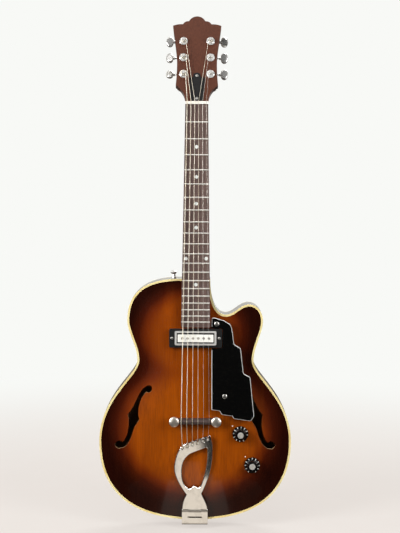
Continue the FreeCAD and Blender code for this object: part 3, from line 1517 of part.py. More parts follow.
def make_guard():
    """A stepped plate level with the fretboard, notched round the pickup, on two spacers."""
    length = mm("guard_length")
    corners = [(x * length, pickup_centre() + up * length, radius * length) for x, up, radius in GUARD_SHARES]
    face = rounded_face(corners)
    gap = mm("guard_notch_gap")
    notch = rounded_block(mm("pickup_frame_length") / 2 + gap, mm("pickup_frame_width") / 2 + gap,
                          mm("pickup_frame_corner"), -mm("overrun"), mm("overrun"), pickup_centre())
    face = face.cut(notch)
    guard = front_prism(face, mm("guard_drop"), guard_back()).Solids[0]
    front = [edge for edge in guard.Edges if edge.BoundBox.YMax < mm("guard_drop") + mm("running_fit")]
    guard = guard.makeChamfer(mm("guard_bevel"), front)
    add_shape("pickguard", drilled(put(guard, neck_frame())))
    spacers = []
    for place in guard_screw_places():
        start = Vector(place.x, guard_back(), place.z)
        spacer = put(rod(mm("guard_spacer_radius"), mm("rim_depth"), start, -TO_FRONT), neck_frame())
        spacers.append(drilled(spacer.cut(UNDER_TOP)))
    add_shape("pickguard_spacers", Part.makeCompound(spacers))


# Knobs and electrics

def knob_frame(reach, height):
    """Origin under a knob's skirt, Z to the front."""
    return aimed(Vector(reach, top_depth(reach, height) - mm("knob_lift"), height), TO_FRONT)


CASING_TOP = "0 - (knob_lift + plate_thickness + pot_seat_gap)"


def make_controls():
    bore = "shaft_radius + shaft_fit"
    knob_profile = [
        (bore, "0"), ("knob_skirt_radius", "0"), ("knob_skirt_radius", "knob_skirt_height - knob_bevel"),
        ("knob_skirt_radius - knob_bevel", "knob_skirt_height"), ("knob_neck_radius", "knob_skirt_height"),
        ("knob_top_radius", "knob_height - knob_bevel"), ("knob_top_radius - knob_bevel", "knob_height"),
        ("knob_cap_radius", "knob_height"), ("knob_cap_radius", "knob_height + knob_cap_height"),
        ("0", "knob_height + knob_cap_height"), ("0", "knob_bore_depth"), (bore, "knob_bore_depth"),
    ]
    shaft_end = f"{CASING_TOP} - pot_shaft_depth"
    shaft_profile = [("0", shaft_end), ("shaft_radius", shaft_end), ("shaft_radius", "knob_bore_depth"),
                     ("0", "knob_bore_depth")]
    pot_bore = "shaft_radius + running_fit"
    bush_top = "pot_bush_rise - knob_lift"
    floor = f"{shaft_end} - pot_end_gap"
    casing_end = f"{CASING_TOP} - pot_casing_height"
    pot_profile = [(pot_bore, bush_top), ("pot_bush_radius", bush_top), ("pot_bush_radius", CASING_TOP),
                   ("pot_casing_radius", CASING_TOP), ("pot_casing_radius", casing_end), ("0", casing_end),
                   ("0", floor), (pot_bore, floor)]
    casings = []
    for name, reach, height in knob_places():
        frame = knob_frame(reach, height)
        keep(turned(f"{name}_knob_body", knob_profile, frame), f"{name}_knob")
        keep(turned(f"{name}_shaft_body", shaft_profile, frame), f"{name}_shaft")
        casings.append(turned(f"{name}_pot", pot_profile, frame))
    group = document.addObject("Part::Compound", "pots")
    group.Links = casings
    keep(group, "pot_casings")


def side_place(edge, axis, value):
    """Point and outward direction where an outline edge's x or z reaches a value."""
    low, high = edge.ParameterRange
    rising = getattr(edge.valueAt(high), axis) > getattr(edge.valueAt(low), axis)
    for _ in range(HALVINGS):
        middle = (low + high) / 2
        if (getattr(edge.valueAt(middle), axis) < value) == rising:
            low = middle
        else:
            high = middle
    along = edge.tangentAt(low)
    outward = Vector(along.z, 0, -along.x)
    point = edge.valueAt(low)
    if OUTLINE.isInside(point + outward * mm("side_thickness"), mm("running_fit"), True):
        outward = outward * -1
    return point, outward


def jack_frame():
    """Origin on the treble side of the lower bout, Z pointing out of the body."""
    return aimed(*side_place(OUTLINE.OuterWire.Edges[-1], "z", mm("jack_height")))


def jack_solid(extra):
    """The room that the jack's tube takes up in the side."""
    length = mm("jack_tube_length")
    tube = rod(mm("jack_tube_radius") + extra, 2 * length, Vector(0, 0, -length), ALONG_Z)
    return put(tube, jack_frame())


def make_jack():
    inner = "0 - jack_tube_length"
    floor = f"{inner} + jack_end_wall"
    profile = [("0", inner), ("jack_tube_radius", inner), ("jack_tube_radius", "0"),
               ("jack_flange_radius", "0"), ("jack_flange_radius", "jack_flange_thickness / 2"),
               ("jack_tube_radius", "jack_flange_thickness"), ("jack_bore_radius", "jack_flange_thickness"),
               ("jack_bore_radius", floor), ("0", floor)]
    keep(turned("jack_body", profile, jack_frame()), "output_jack")


def strap_places():
    """Point and outward direction of the tail button and of the shoulder button."""
    tail = Vector(0, 0, -mm("bracket_thickness"))
    shoulder = side_place(OUTLINE.OuterWire.Edges[3], "x", -mm("strap_button_reach"))
    return [(tail, ALONG_Z * -1), shoulder]


def plan_strap_screws():
    for point, outward in strap_places():
        add_screw("wood", point + outward * mm("strap_length"), outward,
                  mm("strap_length") + mm("wood_screw_length"))


def make_strap_buttons():
    bore = "wood_screw_shank_radius + screw_clearance"
    profile = [(bore, "0"), ("strap_base_radius", "0"), ("strap_base_radius", "strap_flange_thickness / 2"),
               ("strap_waist_radius", "strap_length / 2"),
               ("strap_flange_radius", "strap_length - strap_flange_thickness"),
               ("strap_flange_radius", "strap_length - strap_flange_thickness / 2"),
               ("strap_base_radius", "strap_length"), (bore, "strap_length")]
    buttons = document.addObject("Part::Compound", "strap_button_blanks")
    buttons.Links = [turned(f"strap_blank_{number}", profile, aimed(point, outward))
                     for number, (point, outward) in enumerate(strap_places(), start=1)]
    document.recompute()
    near = [hole for hole in SCREW_HOLES if hole.BoundBox.intersect(buttons.Shape.BoundBox)]
    keep(cut_feature("strap_buttons", buttons, Part.makeCompound(near)), "strap_buttons")


def lead_tube(points):
    """A round lead along straight runs joined by tangent arcs."""
    edges = []
    start = points[0]
    for before, corner, after in zip(points, points[1:], points[2:]):
        first, arc, last = corner_arc(before, corner, after, mm("lead_bend_radius"))
        edges += [Part.makeLine(start, first), arc]
        start = last
    edges.append(Part.makeLine(start, points[-1]))
    path = Part.Wire(edges)
    circle = Part.makeCircle(mm("lead_radius"), points[0], (points[1] - points[0]).normalize())
    tube = path.makePipeShell([Part.Wire(circle)], True, False)
    share = tube.Volume / (math.pi * mm("lead_radius") ** 2 * path.Length)
    print(f"lead of {path.Length:.0f} mm, volume share {share:.4f}")
    return tube


def make_wiring():
    """Leads from the pickup to the volume control, on to the tone control and to the output jack."""
    inward = Vector(0, mm("lead_drop"), 0)
    coil_back = mm("pickup_top_drop") + mm("pickup_cover_wall") * 2 + mm("coil_height")
    coil_end = neck_frame().multVec(Vector(mm("lead_coil_reach"), coil_back, pickup_centre()))
    coil_inward = neck_frame().Rotation.multVec(inward)
    backs = []
    for _, reach, height in knob_places():
        frame = knob_frame(reach, height)
        depth = mm("knob_lift") + mm("plate_thickness") + mm("pot_seat_gap") + mm("pot_casing_height")
        backs.append(frame.multVec(Vector(0, 0, -depth)))
    volume_back, tone_back = backs
    aside = Vector(mm("pot_casing_radius") / 2, 0, 0)
    jack_end = jack_frame().multVec(Vector(0, 0, -mm("jack_tube_length")))
    jack_out = jack_frame().multVec(Vector(0, 0, -mm("jack_tube_length") - mm("lead_drop")))
    volume_in, volume_out = volume_back - aside, volume_back + aside
    tone_in, tone_out = tone_back - aside, tone_back + aside
    leads = [
        lead_tube([coil_end, coil_end + coil_inward, volume_in + inward, volume_in]),
        lead_tube([volume_out, volume_out + inward, tone_in + inward, tone_in]),
        lead_tube([tone_out, tone_out + inward, jack_out, jack_end]),
    ]
    add_shape("wiring", Part.makeCompound(leads))


def make_all():
    plan_truss_cover_screws()
    plan_tuner_screws()
    plan_bracket_screws()
    plan_pickup_screws()
    plan_guard_screws()
    plan_strap_screws()
    make_plates()
    make_rim()
    make_tone_bars()
    make_neck()
    make_truss_rod()
    make_truss_cover()
    make_fretboard()
    make_frets_and_dots()
    make_nut()
    make_tuner_posts()
    make_tuner_keys()
    make_tuner_plates()
    make_bushings()
    make_strings()
    make_bridge()
    make_tailpiece()
    make_pickup()
    make_guard()
    make_controls()
    make_jack()
    make_strap_buttons()
    make_wiring()
    add_shape("screws", Part.makeCompound(SCREWS))


def check_and_write():
    """Writes each sub-part, once every object is in order."""
    document.recompute()
    broken = [feature.Name for feature in document.Objects
              if "Invalid" in feature.State or "Error" in feature.State]
    for feature in NODES:
        if feature.Shape.isNull() or not feature.Shape.isValid() or not feature.Shape.Solids:
            broken.append(feature.Label)
    if broken:
        raise RuntimeError("not in order: " + ", ".join(broken))
    os.makedirs("parts", exist_ok=True)
    for feature in NODES:
        feature.Shape.exportStep(f"parts/{feature.Label}.step")
    print(f"{len(NODES)} sub-parts written")


make_all()
check_and_write()
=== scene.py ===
# %% [markdown]
# A thin hollow-body archtop guitar, dressed for a studio picture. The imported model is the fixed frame: its
# nodes give every shape that moves, carries or fastens. This lesson gives each node a finish made of nodes,
# models the small pieces whose detail a plain solid lacks, and sets up floor, light and camera.

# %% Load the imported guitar
import bmesh
import bpy
import math
from mathutils import Matrix, Vector


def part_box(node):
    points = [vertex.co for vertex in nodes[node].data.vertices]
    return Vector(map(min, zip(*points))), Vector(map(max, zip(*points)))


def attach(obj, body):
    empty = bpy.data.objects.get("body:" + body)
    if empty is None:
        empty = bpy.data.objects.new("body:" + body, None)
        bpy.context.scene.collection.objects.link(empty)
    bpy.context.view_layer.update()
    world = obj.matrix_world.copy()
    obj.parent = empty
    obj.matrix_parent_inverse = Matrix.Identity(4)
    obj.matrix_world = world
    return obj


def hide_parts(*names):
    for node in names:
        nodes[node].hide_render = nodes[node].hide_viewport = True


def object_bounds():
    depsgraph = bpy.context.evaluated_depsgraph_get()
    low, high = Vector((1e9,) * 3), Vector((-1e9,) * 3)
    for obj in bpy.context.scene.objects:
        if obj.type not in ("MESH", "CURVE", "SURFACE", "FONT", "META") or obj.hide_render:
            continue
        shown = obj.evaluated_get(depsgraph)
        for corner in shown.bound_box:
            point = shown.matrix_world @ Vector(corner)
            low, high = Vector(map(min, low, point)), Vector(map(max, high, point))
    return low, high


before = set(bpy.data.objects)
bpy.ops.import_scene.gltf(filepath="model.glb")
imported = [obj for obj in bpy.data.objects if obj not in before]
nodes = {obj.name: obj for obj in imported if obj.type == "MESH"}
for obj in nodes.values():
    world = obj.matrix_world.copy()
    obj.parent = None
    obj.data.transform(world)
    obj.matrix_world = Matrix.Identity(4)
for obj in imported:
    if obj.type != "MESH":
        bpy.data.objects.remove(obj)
CAD_LOW, CAD_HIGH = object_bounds()
print(len(nodes), "nodes, box", [round(value, 4) for value in CAD_HIGH - CAD_LOW])

# %% [markdown]
# The guitar's parts sit in three frames: the neck leans back a little, the head leans back further, and
# the body and its controls stand upright. Writing a piece in its own frame keeps its numbers simple;
# a matrix then carries it to its place. Sizes are in millimetres here, because that is how a maker thinks.

# %% Frames of reference
MM = 0.001
NECK_LEAN = math.radians(3.5)
HEAD_LEAN = math.radians(14.0)
SADDLE_PLACE = Vector((0, -54.4, 187.0)) * MM
NUT_PLACE = Vector((0, 2.6, 576.5)) * MM
NECK = Matrix.Translation(SADDLE_PLACE) @ Matrix.Rotation(-NECK_LEAN, 4, "X")
HEAD = NECK @ Matrix.Translation(NUT_PLACE) @ Matrix.Rotation(-HEAD_LEAN, 4, "X")
NECK_FRONT = NECK.to_3x3() @ Vector((0, -1, 0))
HEAD_FRONT = HEAD.to_3x3() @ Vector((0, -1, 0))
PICKUP_PLACE = 150.66


def looking(place, outward):
    """A matrix that stands a piece at a place with its own Z axis pointing outward."""
    return Matrix.Translation(place) @ outward.to_track_quat("Z", "Y").to_matrix().to_4x4()


print("neck front", [round(value, 4) for value in NECK_FRONT])

# %% [markdown]
# A finish is a small network of shader nodes. Wiring nodes by hand is slow to read, so one class wraps a
# socket: sums and products of sockets add Math nodes, and one method adds any other node with its settings
# and its links. Colours are written as a painter's hex values and turned into the linear values that the
# renderer works with.

# %% The class that wraps a socket
class Signal:
    def __init__(self, tree, socket=None):
        self.tree = tree
        self.socket = socket

    def node(self, kind, settings=None, links=None, out=0):
        made = self.tree.nodes.new(kind)
        for name, value in (settings or {}).items():
            if name == "stops":
                set_stops(made.color_ramp, value)
            else:
                setattr(made, name, value)
        for name, value in (links or {}).items():
            if isinstance(value, Signal):
                self.tree.links.new(value.socket, made.inputs[name])
            else:
                made.inputs[name].default_value = value
        return Signal(self.tree, made.outputs[out])

    def math(self, operation, *others):
        """A Math node whose first value is this signal."""
        return self.node("ShaderNodeMath", {"operation": operation}, dict(enumerate((self, *others))))

    def __add__(self, other):
        return self.math("ADD", other)

    def __mul__(self, other):
        return self.math("MULTIPLY", other)

    def __sub__(self, other):
        return self.math("SUBTRACT", other)

    def __truediv__(self, other):
        return self.math("DIVIDE", other)

    def __pow__(self, other):
        return self.math("POWER", other)

    def __neg__(self):
        return self * -1.0

    def __rsub__(self, other):
        return -self + other

    def __rtruediv__(self, other):
        return self ** -1.0 * other

    __radd__ = __add__
    __rmul__ = __mul__

    def step(self, low, high):
        """Rises smoothly from none to all between two values."""
        return self.node("ShaderNodeMapRange", {"interpolation_type": "SMOOTHSTEP"},
                         {"Value": self, "From Min": low, "From Max": high})

    def mix(self, first, second):
        """Blends two colours, the socket being the share of the second."""
        return self.node("ShaderNodeMix", {"data_type": "RGBA"}, {0: self, 6: first, 7: second}, out=2)


def set_stops(ramp, stops):
    """Gives a colour ramp its (place, colour) stops."""
    while len(ramp.elements) < len(stops):
        ramp.elements.new(0.5)
    for element, (place, colour) in zip(ramp.elements, stops):
        element.position = place
        element.color = colour


def paint(code):
    """A linear colour from a painter's hex code."""
    shares = [int(code[place:place + 2], 16) / 255 for place in (0, 2, 4)]
    linear = [share / 12.92 if share < 0.04045 else ((share + 0.055) / 1.055) ** 2.4 for share in shares]
    return (*linear, 1.0)


print("amber in linear light", [round(value, 3) for value in paint("9c4803")])

# %% [markdown]
# Every finish starts alike: a new material, its fixed socket values, and the place on the piece in
# millimetres. Object coordinates are used all through, because each piece sits at the origin with its place
# in its mesh, so a grain runs on unbroken and stays put when the piece is turned. No edge on the real
# guitar is knife sharp: plate is polished over and plastic is buffed. A finish can therefore round the
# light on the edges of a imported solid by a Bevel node, and the solid itself stays as it is.

# %% Starting a finish
EDGE_SAMPLES = 8


class Finish:
    def __init__(self, name, fixed=None):
        self.material = bpy.data.materials.new(name)
        self.material.use_nodes = True
        tree = self.material.node_tree
        self.shader = tree.nodes["Principled BSDF"]
        for socket, value in (fixed or {}).items():
            self.shader.inputs[socket].default_value = value
        self.start = Signal(tree)
        coordinates = self.start.node("ShaderNodeTexCoord", out="Object")
        self.place = self.start.node("ShaderNodeVectorMath", {"operation": "SCALE"},
                                     {0: coordinates, "Scale": 1 / MM})
        self.normal = self.start.node("ShaderNodeTexCoord", out="Normal")

    def axes(self):
        split = self.start.node("ShaderNodeSeparateXYZ", links={0: self.place})
        outputs = split.socket.node.outputs
        return [Signal(self.start.tree, outputs[axis]) for axis in "XYZ"]

    def noise(self, stretch, detail=3.0, roughness=0.55):
        """Noise whose grains are as long, in millimetres, as the stretch says along each axis."""
        scale = [1 / length for length in stretch]
        squeezed = self.start.node("ShaderNodeVectorMath", {"operation": "MULTIPLY"},
                                   {0: self.place, 1: scale})
        return self.start.node("ShaderNodeTexNoise", None,
                               {"Vector": squeezed, "Scale": 1.0, "Detail": detail, "Roughness": roughness})

    def facing(self, direction):
        """How squarely the surface faces a direction, from -1 to 1."""
        return self.start.node("ShaderNodeVectorMath", {"operation": "DOT_PRODUCT"},
                               {0: self.normal, 1: direction}, out="Value")

    def feed(self, **signals):
        """Links signals to the shader's sockets, named with underscores."""
        for name, signal in signals.items():
            socket = self.shader.inputs[name.replace("_", " ")]
            self.start.tree.links.new(signal.socket, socket)

    def bump(self, height, depth, strength=1.0, rounding=0.0):
        """Relief from a height signal, on edges rounded by a radius; both sizes are in millimetres."""
        links = {"Height": height, "Distance": depth * MM, "Strength": strength}
        if rounding:
            links["Normal"] = self.start.node("ShaderNodeBevel", {"samples": EDGE_SAMPLES},
                                              {"Radius": rounding * MM})
        relief = self.start.node("ShaderNodeBump", None, links)
        self.feed(Normal=relief)


def finish_nodes(finish, *names):
    """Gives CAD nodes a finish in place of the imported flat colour."""
    for name in names:
        mesh = nodes[name].data
        mesh.materials.clear()
        mesh.materials.append(finish.material)
    print(finish.material.name, "on", len(names), "nodes")


print("finish helpers ready")

# %% [markdown]
# The carved top is mahogany under a burst of stain: amber in the middle, through red-brown, to near black at
# the rim, sprayed by hand so the dark band follows the outline. An image could hold it, but two soft ovals,
# one for each bout, give the same cloud from the place alone. Towards the neck the stain is made a little
# darker. Fine dark pores run along the grain, and the walls of the f-holes, which face sideways, show paler
# bare wood.

# %% Sunburst top
LOWER_BOUT = ((0.0, 170.0), (173.0, 155.0))
UPPER_BOUT = ((-8.0, 345.0), (118.0, 106.0))
BOUTS_RUN_TOGETHER = 0.42
AMBER_END, BLACK_START = 0.50, 0.98
CLOUDINESS = 0.08
DARKER_START, DARKER_END = 200.0, 380.0
DARKER_SHARE = 0.3
STAIN = ((0.0, "1b0300"), (0.25, "3a0d01"), (0.5, "682503"), (0.75, "8a3c03"), (1.0, "9c4803"))


def soft_oval(across, along, centre, half_size):
    """Zero in the middle of an oval and one on its edge."""
    side = (across - centre[0]) / half_size[0]
    up = (along - centre[1]) / half_size[1]
    return (side * side + up * up) ** 0.5


def burst_share(finish):
    """One in the amber middle, falling to zero at the rim."""
    x, _, z = finish.axes()
    cloud = finish.noise((38.0, 38.0, 60.0), detail=2.0) - 0.5
    lower = soft_oval(x, z, *LOWER_BOUT)
    upper = soft_oval(x, z, *UPPER_BOUT)
    nearest = lower.math("SMOOTH_MIN", upper, BOUTS_RUN_TOGETHER)
    # Towards the neck the share is lowered, so the stain there is a little darker.
    darker_upward = z.step(DARKER_START, DARKER_END) * DARKER_SHARE
    return (1.0 - (nearest + cloud * CLOUDINESS).step(AMBER_END, BLACK_START)) * (1.0 - darker_upward)


def grain_lines(finish, width, length):
    """Fine long streaks along the piece."""
    return finish.noise((width, width, length), detail=4.0, roughness=0.65)


def open_pores(finish, width, length, low, high):
    """Short pores along the grain: none where the noise is low, open where it is high."""
    return finish.noise((width, width, length), detail=2.0).step(low, high)


def sunburst(name):
    finish = Finish(name, {"Specular IOR Level": 0.2, "Coat Weight": 0.3, "Coat Roughness": 0.05})
    share = burst_share(finish)
    stops = [(place, paint(colour)) for place, colour in STAIN]
    stain = finish.start.node("ShaderNodeValToRGB", {"stops": stops}, {"Fac": share})
    streaks = grain_lines(finish, 1.6, 110.0)
    pores = open_pores(finish, 0.35, 6.0, 0.60, 0.72)
    figure = finish.noise((26.0, 26.0, 150.0), detail=2.0)
    lit = (figure.step(0.5, 0.75) * share * 0.2).mix(stain, paint("b85c0c"))
    shade = (streaks.step(0.35, 0.75) * 0.42 + figure.step(0.65, 0.3) * 0.2) * (share * 0.8 + 0.2)
    toned = shade.mix(lit, paint("4a1d08"))
    pored = (pores * 0.45).mix(toned, paint("2a0f05"))
    wall = 1.0 - finish.facing((0, -1, 0)).math("ABSOLUTE").step(0.45, 0.75)
    finish.feed(Base_Color=wall.mix(pored, paint("c09a72")), Roughness=0.26 + pores * 0.12)
    finish.bump(-pores, 0.03, 0.25)
    return finish


finish_nodes(sunburst("sunburst_lacquer"), "top_plate")

# %% [markdown]
# Sides and back are the same timber, stained dark all over with a broad glow in the middle of the back.
# The inside faces were never sprayed, so the blocks, linings and bars in there stay bare and pale.

# %% Dark body lacquer and bare inner wood
def dark_lacquer(name):
    finish = Finish(name, {"Specular IOR Level": 0.3, "Coat Weight": 0.5, "Coat Roughness": 0.06})
    share = burst_share(finish)
    faces_back = finish.facing((0, 1, 0)).step(0.6, 0.9)
    streaks = grain_lines(finish, 1.8, 90.0)
    pores = open_pores(finish, 0.35, 6.0, 0.60, 0.72)
    base = (share * faces_back).mix(paint("2b0f07"), paint("6b3210"))
    toned = (streaks.step(0.35, 0.75) * 0.4).mix(base, paint("180704"))
    stained = (pores * 0.4).mix(toned, paint("120503"))
    inside = finish.facing((0, -1, 0)).step(0.5, 0.8)
    finish.feed(Base_Color=inside.mix(stained, paint("a9855c")), Roughness=0.28 + pores * 0.1)
    finish.bump(-pores, 0.03, 0.25)
    return finish


def bare_wood(name):
    finish = Finish(name)
    streaks = grain_lines(finish, 1.2, 60.0)
    tone = streaks.step(0.3, 0.75).mix(paint("b08c62"), paint("8a6440"))
    finish.feed(Base_Color=tone, Roughness=0.62 + streaks * 0.2)
    finish.bump(streaks, 0.06, 0.4)
    return finish


finish_nodes(dark_lacquer("dark_body_lacquer"), "back_plate", "bass_side", "treble_side")
finish_nodes(bare_wood("bare_inner_wood"), "neck_block", "tail_block", "linings", "tone_bars")

# %% [markdown]
# Neck and head are one piece of brown mahogany under a thinner coat, with less red than the body. The
# fretboard and bridge are rosewood: oiled, not lacquered, streaked from grey-brown to red-brown, with open
# pores. The streaks are long noise along the neck, so they look sawn from one board.

# %% Neck mahogany and rosewood
STREAK_PLACES = (0.25, 0.45, 0.6, 0.8)
BOARD_COLOURS = ("3b2f2b", "59443d", "69524a", "4a3732")
BRIDGE_COLOURS = ("241a17", "3a2823", "4a352e", "2c1e1a")


def neck_mahogany(name):
    finish = Finish(name, {"Specular IOR Level": 0.25, "Coat Weight": 0.08, "Coat Roughness": 0.18})
    streaks = grain_lines(finish, 1.4, 80.0)
    cloud = finish.noise((30.0, 30.0, 60.0), detail=2.0)
    pores = open_pores(finish, 0.3, 5.0, 0.60, 0.72)
    tone = (streaks.step(0.3, 0.75) * 0.6 + cloud * 0.3).mix(paint("5e3423"), paint("3f2014"))
    side = 1.0 - finish.facing(tuple(HEAD_FRONT)).step(0.3, 0.85)
    edge_tone = (side * 0.55).mix(tone, paint("2c140b"))
    pored = (pores * 0.45).mix(edge_tone, paint("1f0d07"))
    finish.feed(Base_Color=pored, Roughness=0.42 + pores * 0.15)
    finish.bump(-pores, 0.03, 0.3)
    return finish


def oiled_rosewood(name, colours):
    """Rosewood whose streaks run through four colours."""
    finish = Finish(name, {"Coat Weight": 0.06})
    streaks = grain_lines(finish, 2.6, 160.0)
    fine = finish.noise((0.5, 0.5, 22.0), detail=4.0, roughness=0.7)
    pores = open_pores(finish, 0.28, 4.0, 0.58, 0.70)
    stops = list(zip(STREAK_PLACES, map(paint, colours)))
    tone = finish.start.node("ShaderNodeValToRGB", {"stops": stops}, {"Fac": streaks})
    lined = (fine.step(0.4, 0.75) * 0.45).mix(tone, paint("2e201d"))
    finish.feed(Base_Color=(pores * 0.6).mix(lined, paint("1a1110")), Roughness=0.48 + fine * 0.2)
    finish.bump(-pores, 0.05, 0.5)
    return finish


finish_nodes(neck_mahogany("neck_mahogany"), "neck")
finish_nodes(oiled_rosewood("oiled_rosewood", BOARD_COLOURS), "fretboard")
finish_nodes(oiled_rosewood("dark_rosewood", BRIDGE_COLOURS), "bridge_base", "bridge_saddle")

# %% [markdown]
# The rim is bound in celluloid that has aged from white to a warm cream, a little uneven and scuffed. The
# nut is polished bone with faint lengthwise lines, and the position dots are pearl, whose nacre shifts
# between cool and warm white in soft bands.

# %% Cream binding, bone and pearl
def aged_cream(name):
    finish = Finish(name, {"Coat Weight": 0.4, "Coat Roughness": 0.12})
    ageing = finish.noise((40.0, 40.0, 40.0), detail=3.0)
    specks = finish.noise((0.8, 0.8, 0.8), detail=2.0).step(0.68, 0.78)
    tone = ageing.step(0.3, 0.7).mix(paint("ecdca0"), paint("e2c983"))
    finish.feed(Base_Color=(specks * 0.25).mix(tone, paint("a98a4c")), Roughness=0.34 + specks * 0.2)
    finish.bump(ageing, 0.05, 0.15)
    return finish


def polished_bone(name):
    finish = Finish(name)
    lines = finish.noise((9.0, 0.7, 0.7), detail=3.0)
    tone = lines.step(0.4, 0.8).mix(paint("f2efe6"), paint("d9d0bd"))
    finish.feed(Base_Color=tone, Roughness=0.25 + lines * 0.15)
    finish.bump(lines, 0.02, 0.1, rounding=0.5)
    return finish


def nacre(name):
    finish = Finish(name, {"Coat Weight": 0.5})
    bands = finish.noise((2.4, 2.4, 1.1), detail=2.0)
    tone = bands.step(0.3, 0.7).mix(paint("f4f2ea"), paint("cfd6d4"))
    finish.feed(Base_Color=tone, Roughness=0.2 + bands * 0.2)
    return finish


finish_nodes(aged_cream("aged_cream"), "top_binding", "back_binding")
finish_nodes(polished_bone("polished_bone"), "nut")
finish_nodes(nacre("pearl_nacre"), "position_dots")

# %% [markdown]
# Bright parts are plated: tailpiece, tuners, bridge screws and buttons in chrome, frets and strings in
# nickel and steel. New chrome is a perfect mirror, which looks false; handled chrome has a faint haze in
# patches and tiny scratches, so its roughness varies and a trace of relief bends the reflections. Frets,
# strings, bushings, keys and caps catch light from all round a real room. The room here is dim to mirrors,
# so those finishes are only part metal, and the rest is a pale colour that paints in the reflections they
# would catch.

# %% Plated metals
WRAP_WAVES = 14.0
TUNERS = range(1, 7)


def worn_plate(name, light, dark, smooth, haze, metal=1.0, rounding=0.0):
    """Plate in two tones: its least roughness, the haze on top of it, and the share of metal."""
    finish = Finish(name, {"Metallic": metal})
    patches = finish.noise((14.0, 14.0, 14.0), detail=3.0)
    scratches = finish.noise((0.25, 0.25, 9.0), detail=2.0).step(0.6, 0.8)
    tone = (patches.step(0.45, 0.8) * 0.5).mix(paint(light), paint(dark))
    finish.feed(Base_Color=tone, Roughness=smooth + patches * haze + scratches * haze)
    finish.bump(patches, 0.02, 0.1, rounding)
    return finish


def wound_steel(name):
    """Steel with a fine wrap: a sine makes ridges across the string, which runs nearly along Z."""
    finish = Finish(name, {"Metallic": 0.6})
    _, _, z = finish.axes()
    ridges = (z * WRAP_WAVES).math("SINE")
    tarnish = finish.noise((6.0, 6.0, 40.0), detail=3.0)
    tone = tarnish.step(0.35, 0.75).mix(paint("ece5d4"), paint("c4b89e"))
    finish.feed(Base_Color=tone, Roughness=0.28 + tarnish * 0.15)
    finish.bump(ridges, 0.06, 0.5)
    return finish


chrome = worn_plate("worn_chrome", "e8e6e2", "c9c6c0", 0.05, 0.10, rounding=0.4)
cast_chrome = worn_plate("cast_chrome", "e8e6e2", "c9c6c0", 0.05, 0.10, rounding=1.2)
rubbed_chrome = worn_plate("rubbed_chrome", "bfbcb6", "9c9992", 0.24, 0.14)
# The pale non-metal share of these finishes is a painted reflection of a bright room.
nickel = worn_plate("fret_nickel", "f2efe6", "d5d0c4", 0.2, 0.16, 0.45)
bright_plate = worn_plate("bright_plate", "f2f0ec", "d2cfc9", 0.12, 0.1, 0.5)
key_plate = worn_plate("key_plate", "e4e2de", "c6c3bd", 0.14, 0.1, 0.75)
brushed_cap = worn_plate("brushed_cap", "e6e2da", "bab5ac", 0.35, 0.2, 0.7)
plain_steel = worn_plate("plain_steel", "e6e2d8", "bdb8ac", 0.16, 0.18, 0.6)
dull_plate = worn_plate("dull_plate", "dcd2c6", "b0a497", 0.28, 0.2)
pole_steel = worn_plate("pole_steel", "98938a", "6c675f", 0.32, 0.2)
wound = wound_steel("wound_steel")
finish_nodes(cast_chrome, "tailpiece_harp")
finish_nodes(chrome, "tailpiece_hinge_pin", "tailpiece_bracket", "output_jack", "tuner_plates",
             "pickup_cover")
finish_nodes(key_plate, *[f"tuner_key_{n}" for n in TUNERS])
finish_nodes(bright_plate, "tuner_bushings", "strap_buttons", *[f"tuner_post_{n}" for n in TUNERS])
finish_nodes(nickel, "frets")
finish_nodes(wound, "string_1", "string_2", "string_3", "string_4")
finish_nodes(plain_steel, "string_5", "string_6", "screws", "pole_screws", "truss_rod")
finish_nodes(dull_plate, "pot_casings", "volume_shaft", "tone_shaft", "bass_bridge_screw",
             "treble_bridge_screw")

# %% [markdown]
# The pickguard is a sandwich of black and pale plastic, so its bevelled rim shows a light line round a
# gloss black face. The finish asks how squarely a spot faces the player: the face is black, the bevel is
# pale, but for the notch round the pickup, which is sawn square and stays black. The other plastics share
# the faint swirls from wiping, but have no second layer.

# %% Plastics
NOTCH_SIDE = (50.0, 52.0)
NOTCH_FOOT = (315.0, 317.0)
NOTCH_TOP = (357.0, 359.0)


def wiped_plastic(name, colour, smear, gloss=0.12, rounding=0.0):
    """Plastic with swirls from wiping. The colour's signal is given too, for a finish that adds to it."""
    finish = Finish(name, {"Specular IOR Level": 0.25, "Coat Weight": 0.1, "Coat Roughness": 0.05})
    swirls = finish.noise((7.0, 7.0, 3.0), detail=4.0)
    specks = finish.noise((0.5, 0.5, 0.5), detail=1.0).step(0.70, 0.76)
    tone = (swirls.step(0.5, 0.8) * 0.5 + specks * 0.4).mix(paint(colour), paint(smear))
    finish.feed(Base_Color=tone, Roughness=gloss + swirls * 0.12 + specks * 0.2)
    finish.bump(swirls, 0.04, 0.08, rounding)
    return finish, tone


def layered_plastic(name):
    """Black above a pale layer that shows on the bevel."""
    finish, tone = wiped_plastic(name, "050505", "14130f")
    squarely = finish.facing(tuple(NECK_FRONT))
    bevel = squarely.step(0.35, 0.5) * (1.0 - squarely.step(0.88, 0.97))
    x, _, z = finish.axes()
    notch = (1.0 - x.step(*NOTCH_SIDE)) * z.step(*NOTCH_FOOT) * (1.0 - z.step(*NOTCH_TOP))
    finish.feed(Base_Color=(bevel * (1.0 - notch)).mix(tone, paint("dededb")))
    return finish


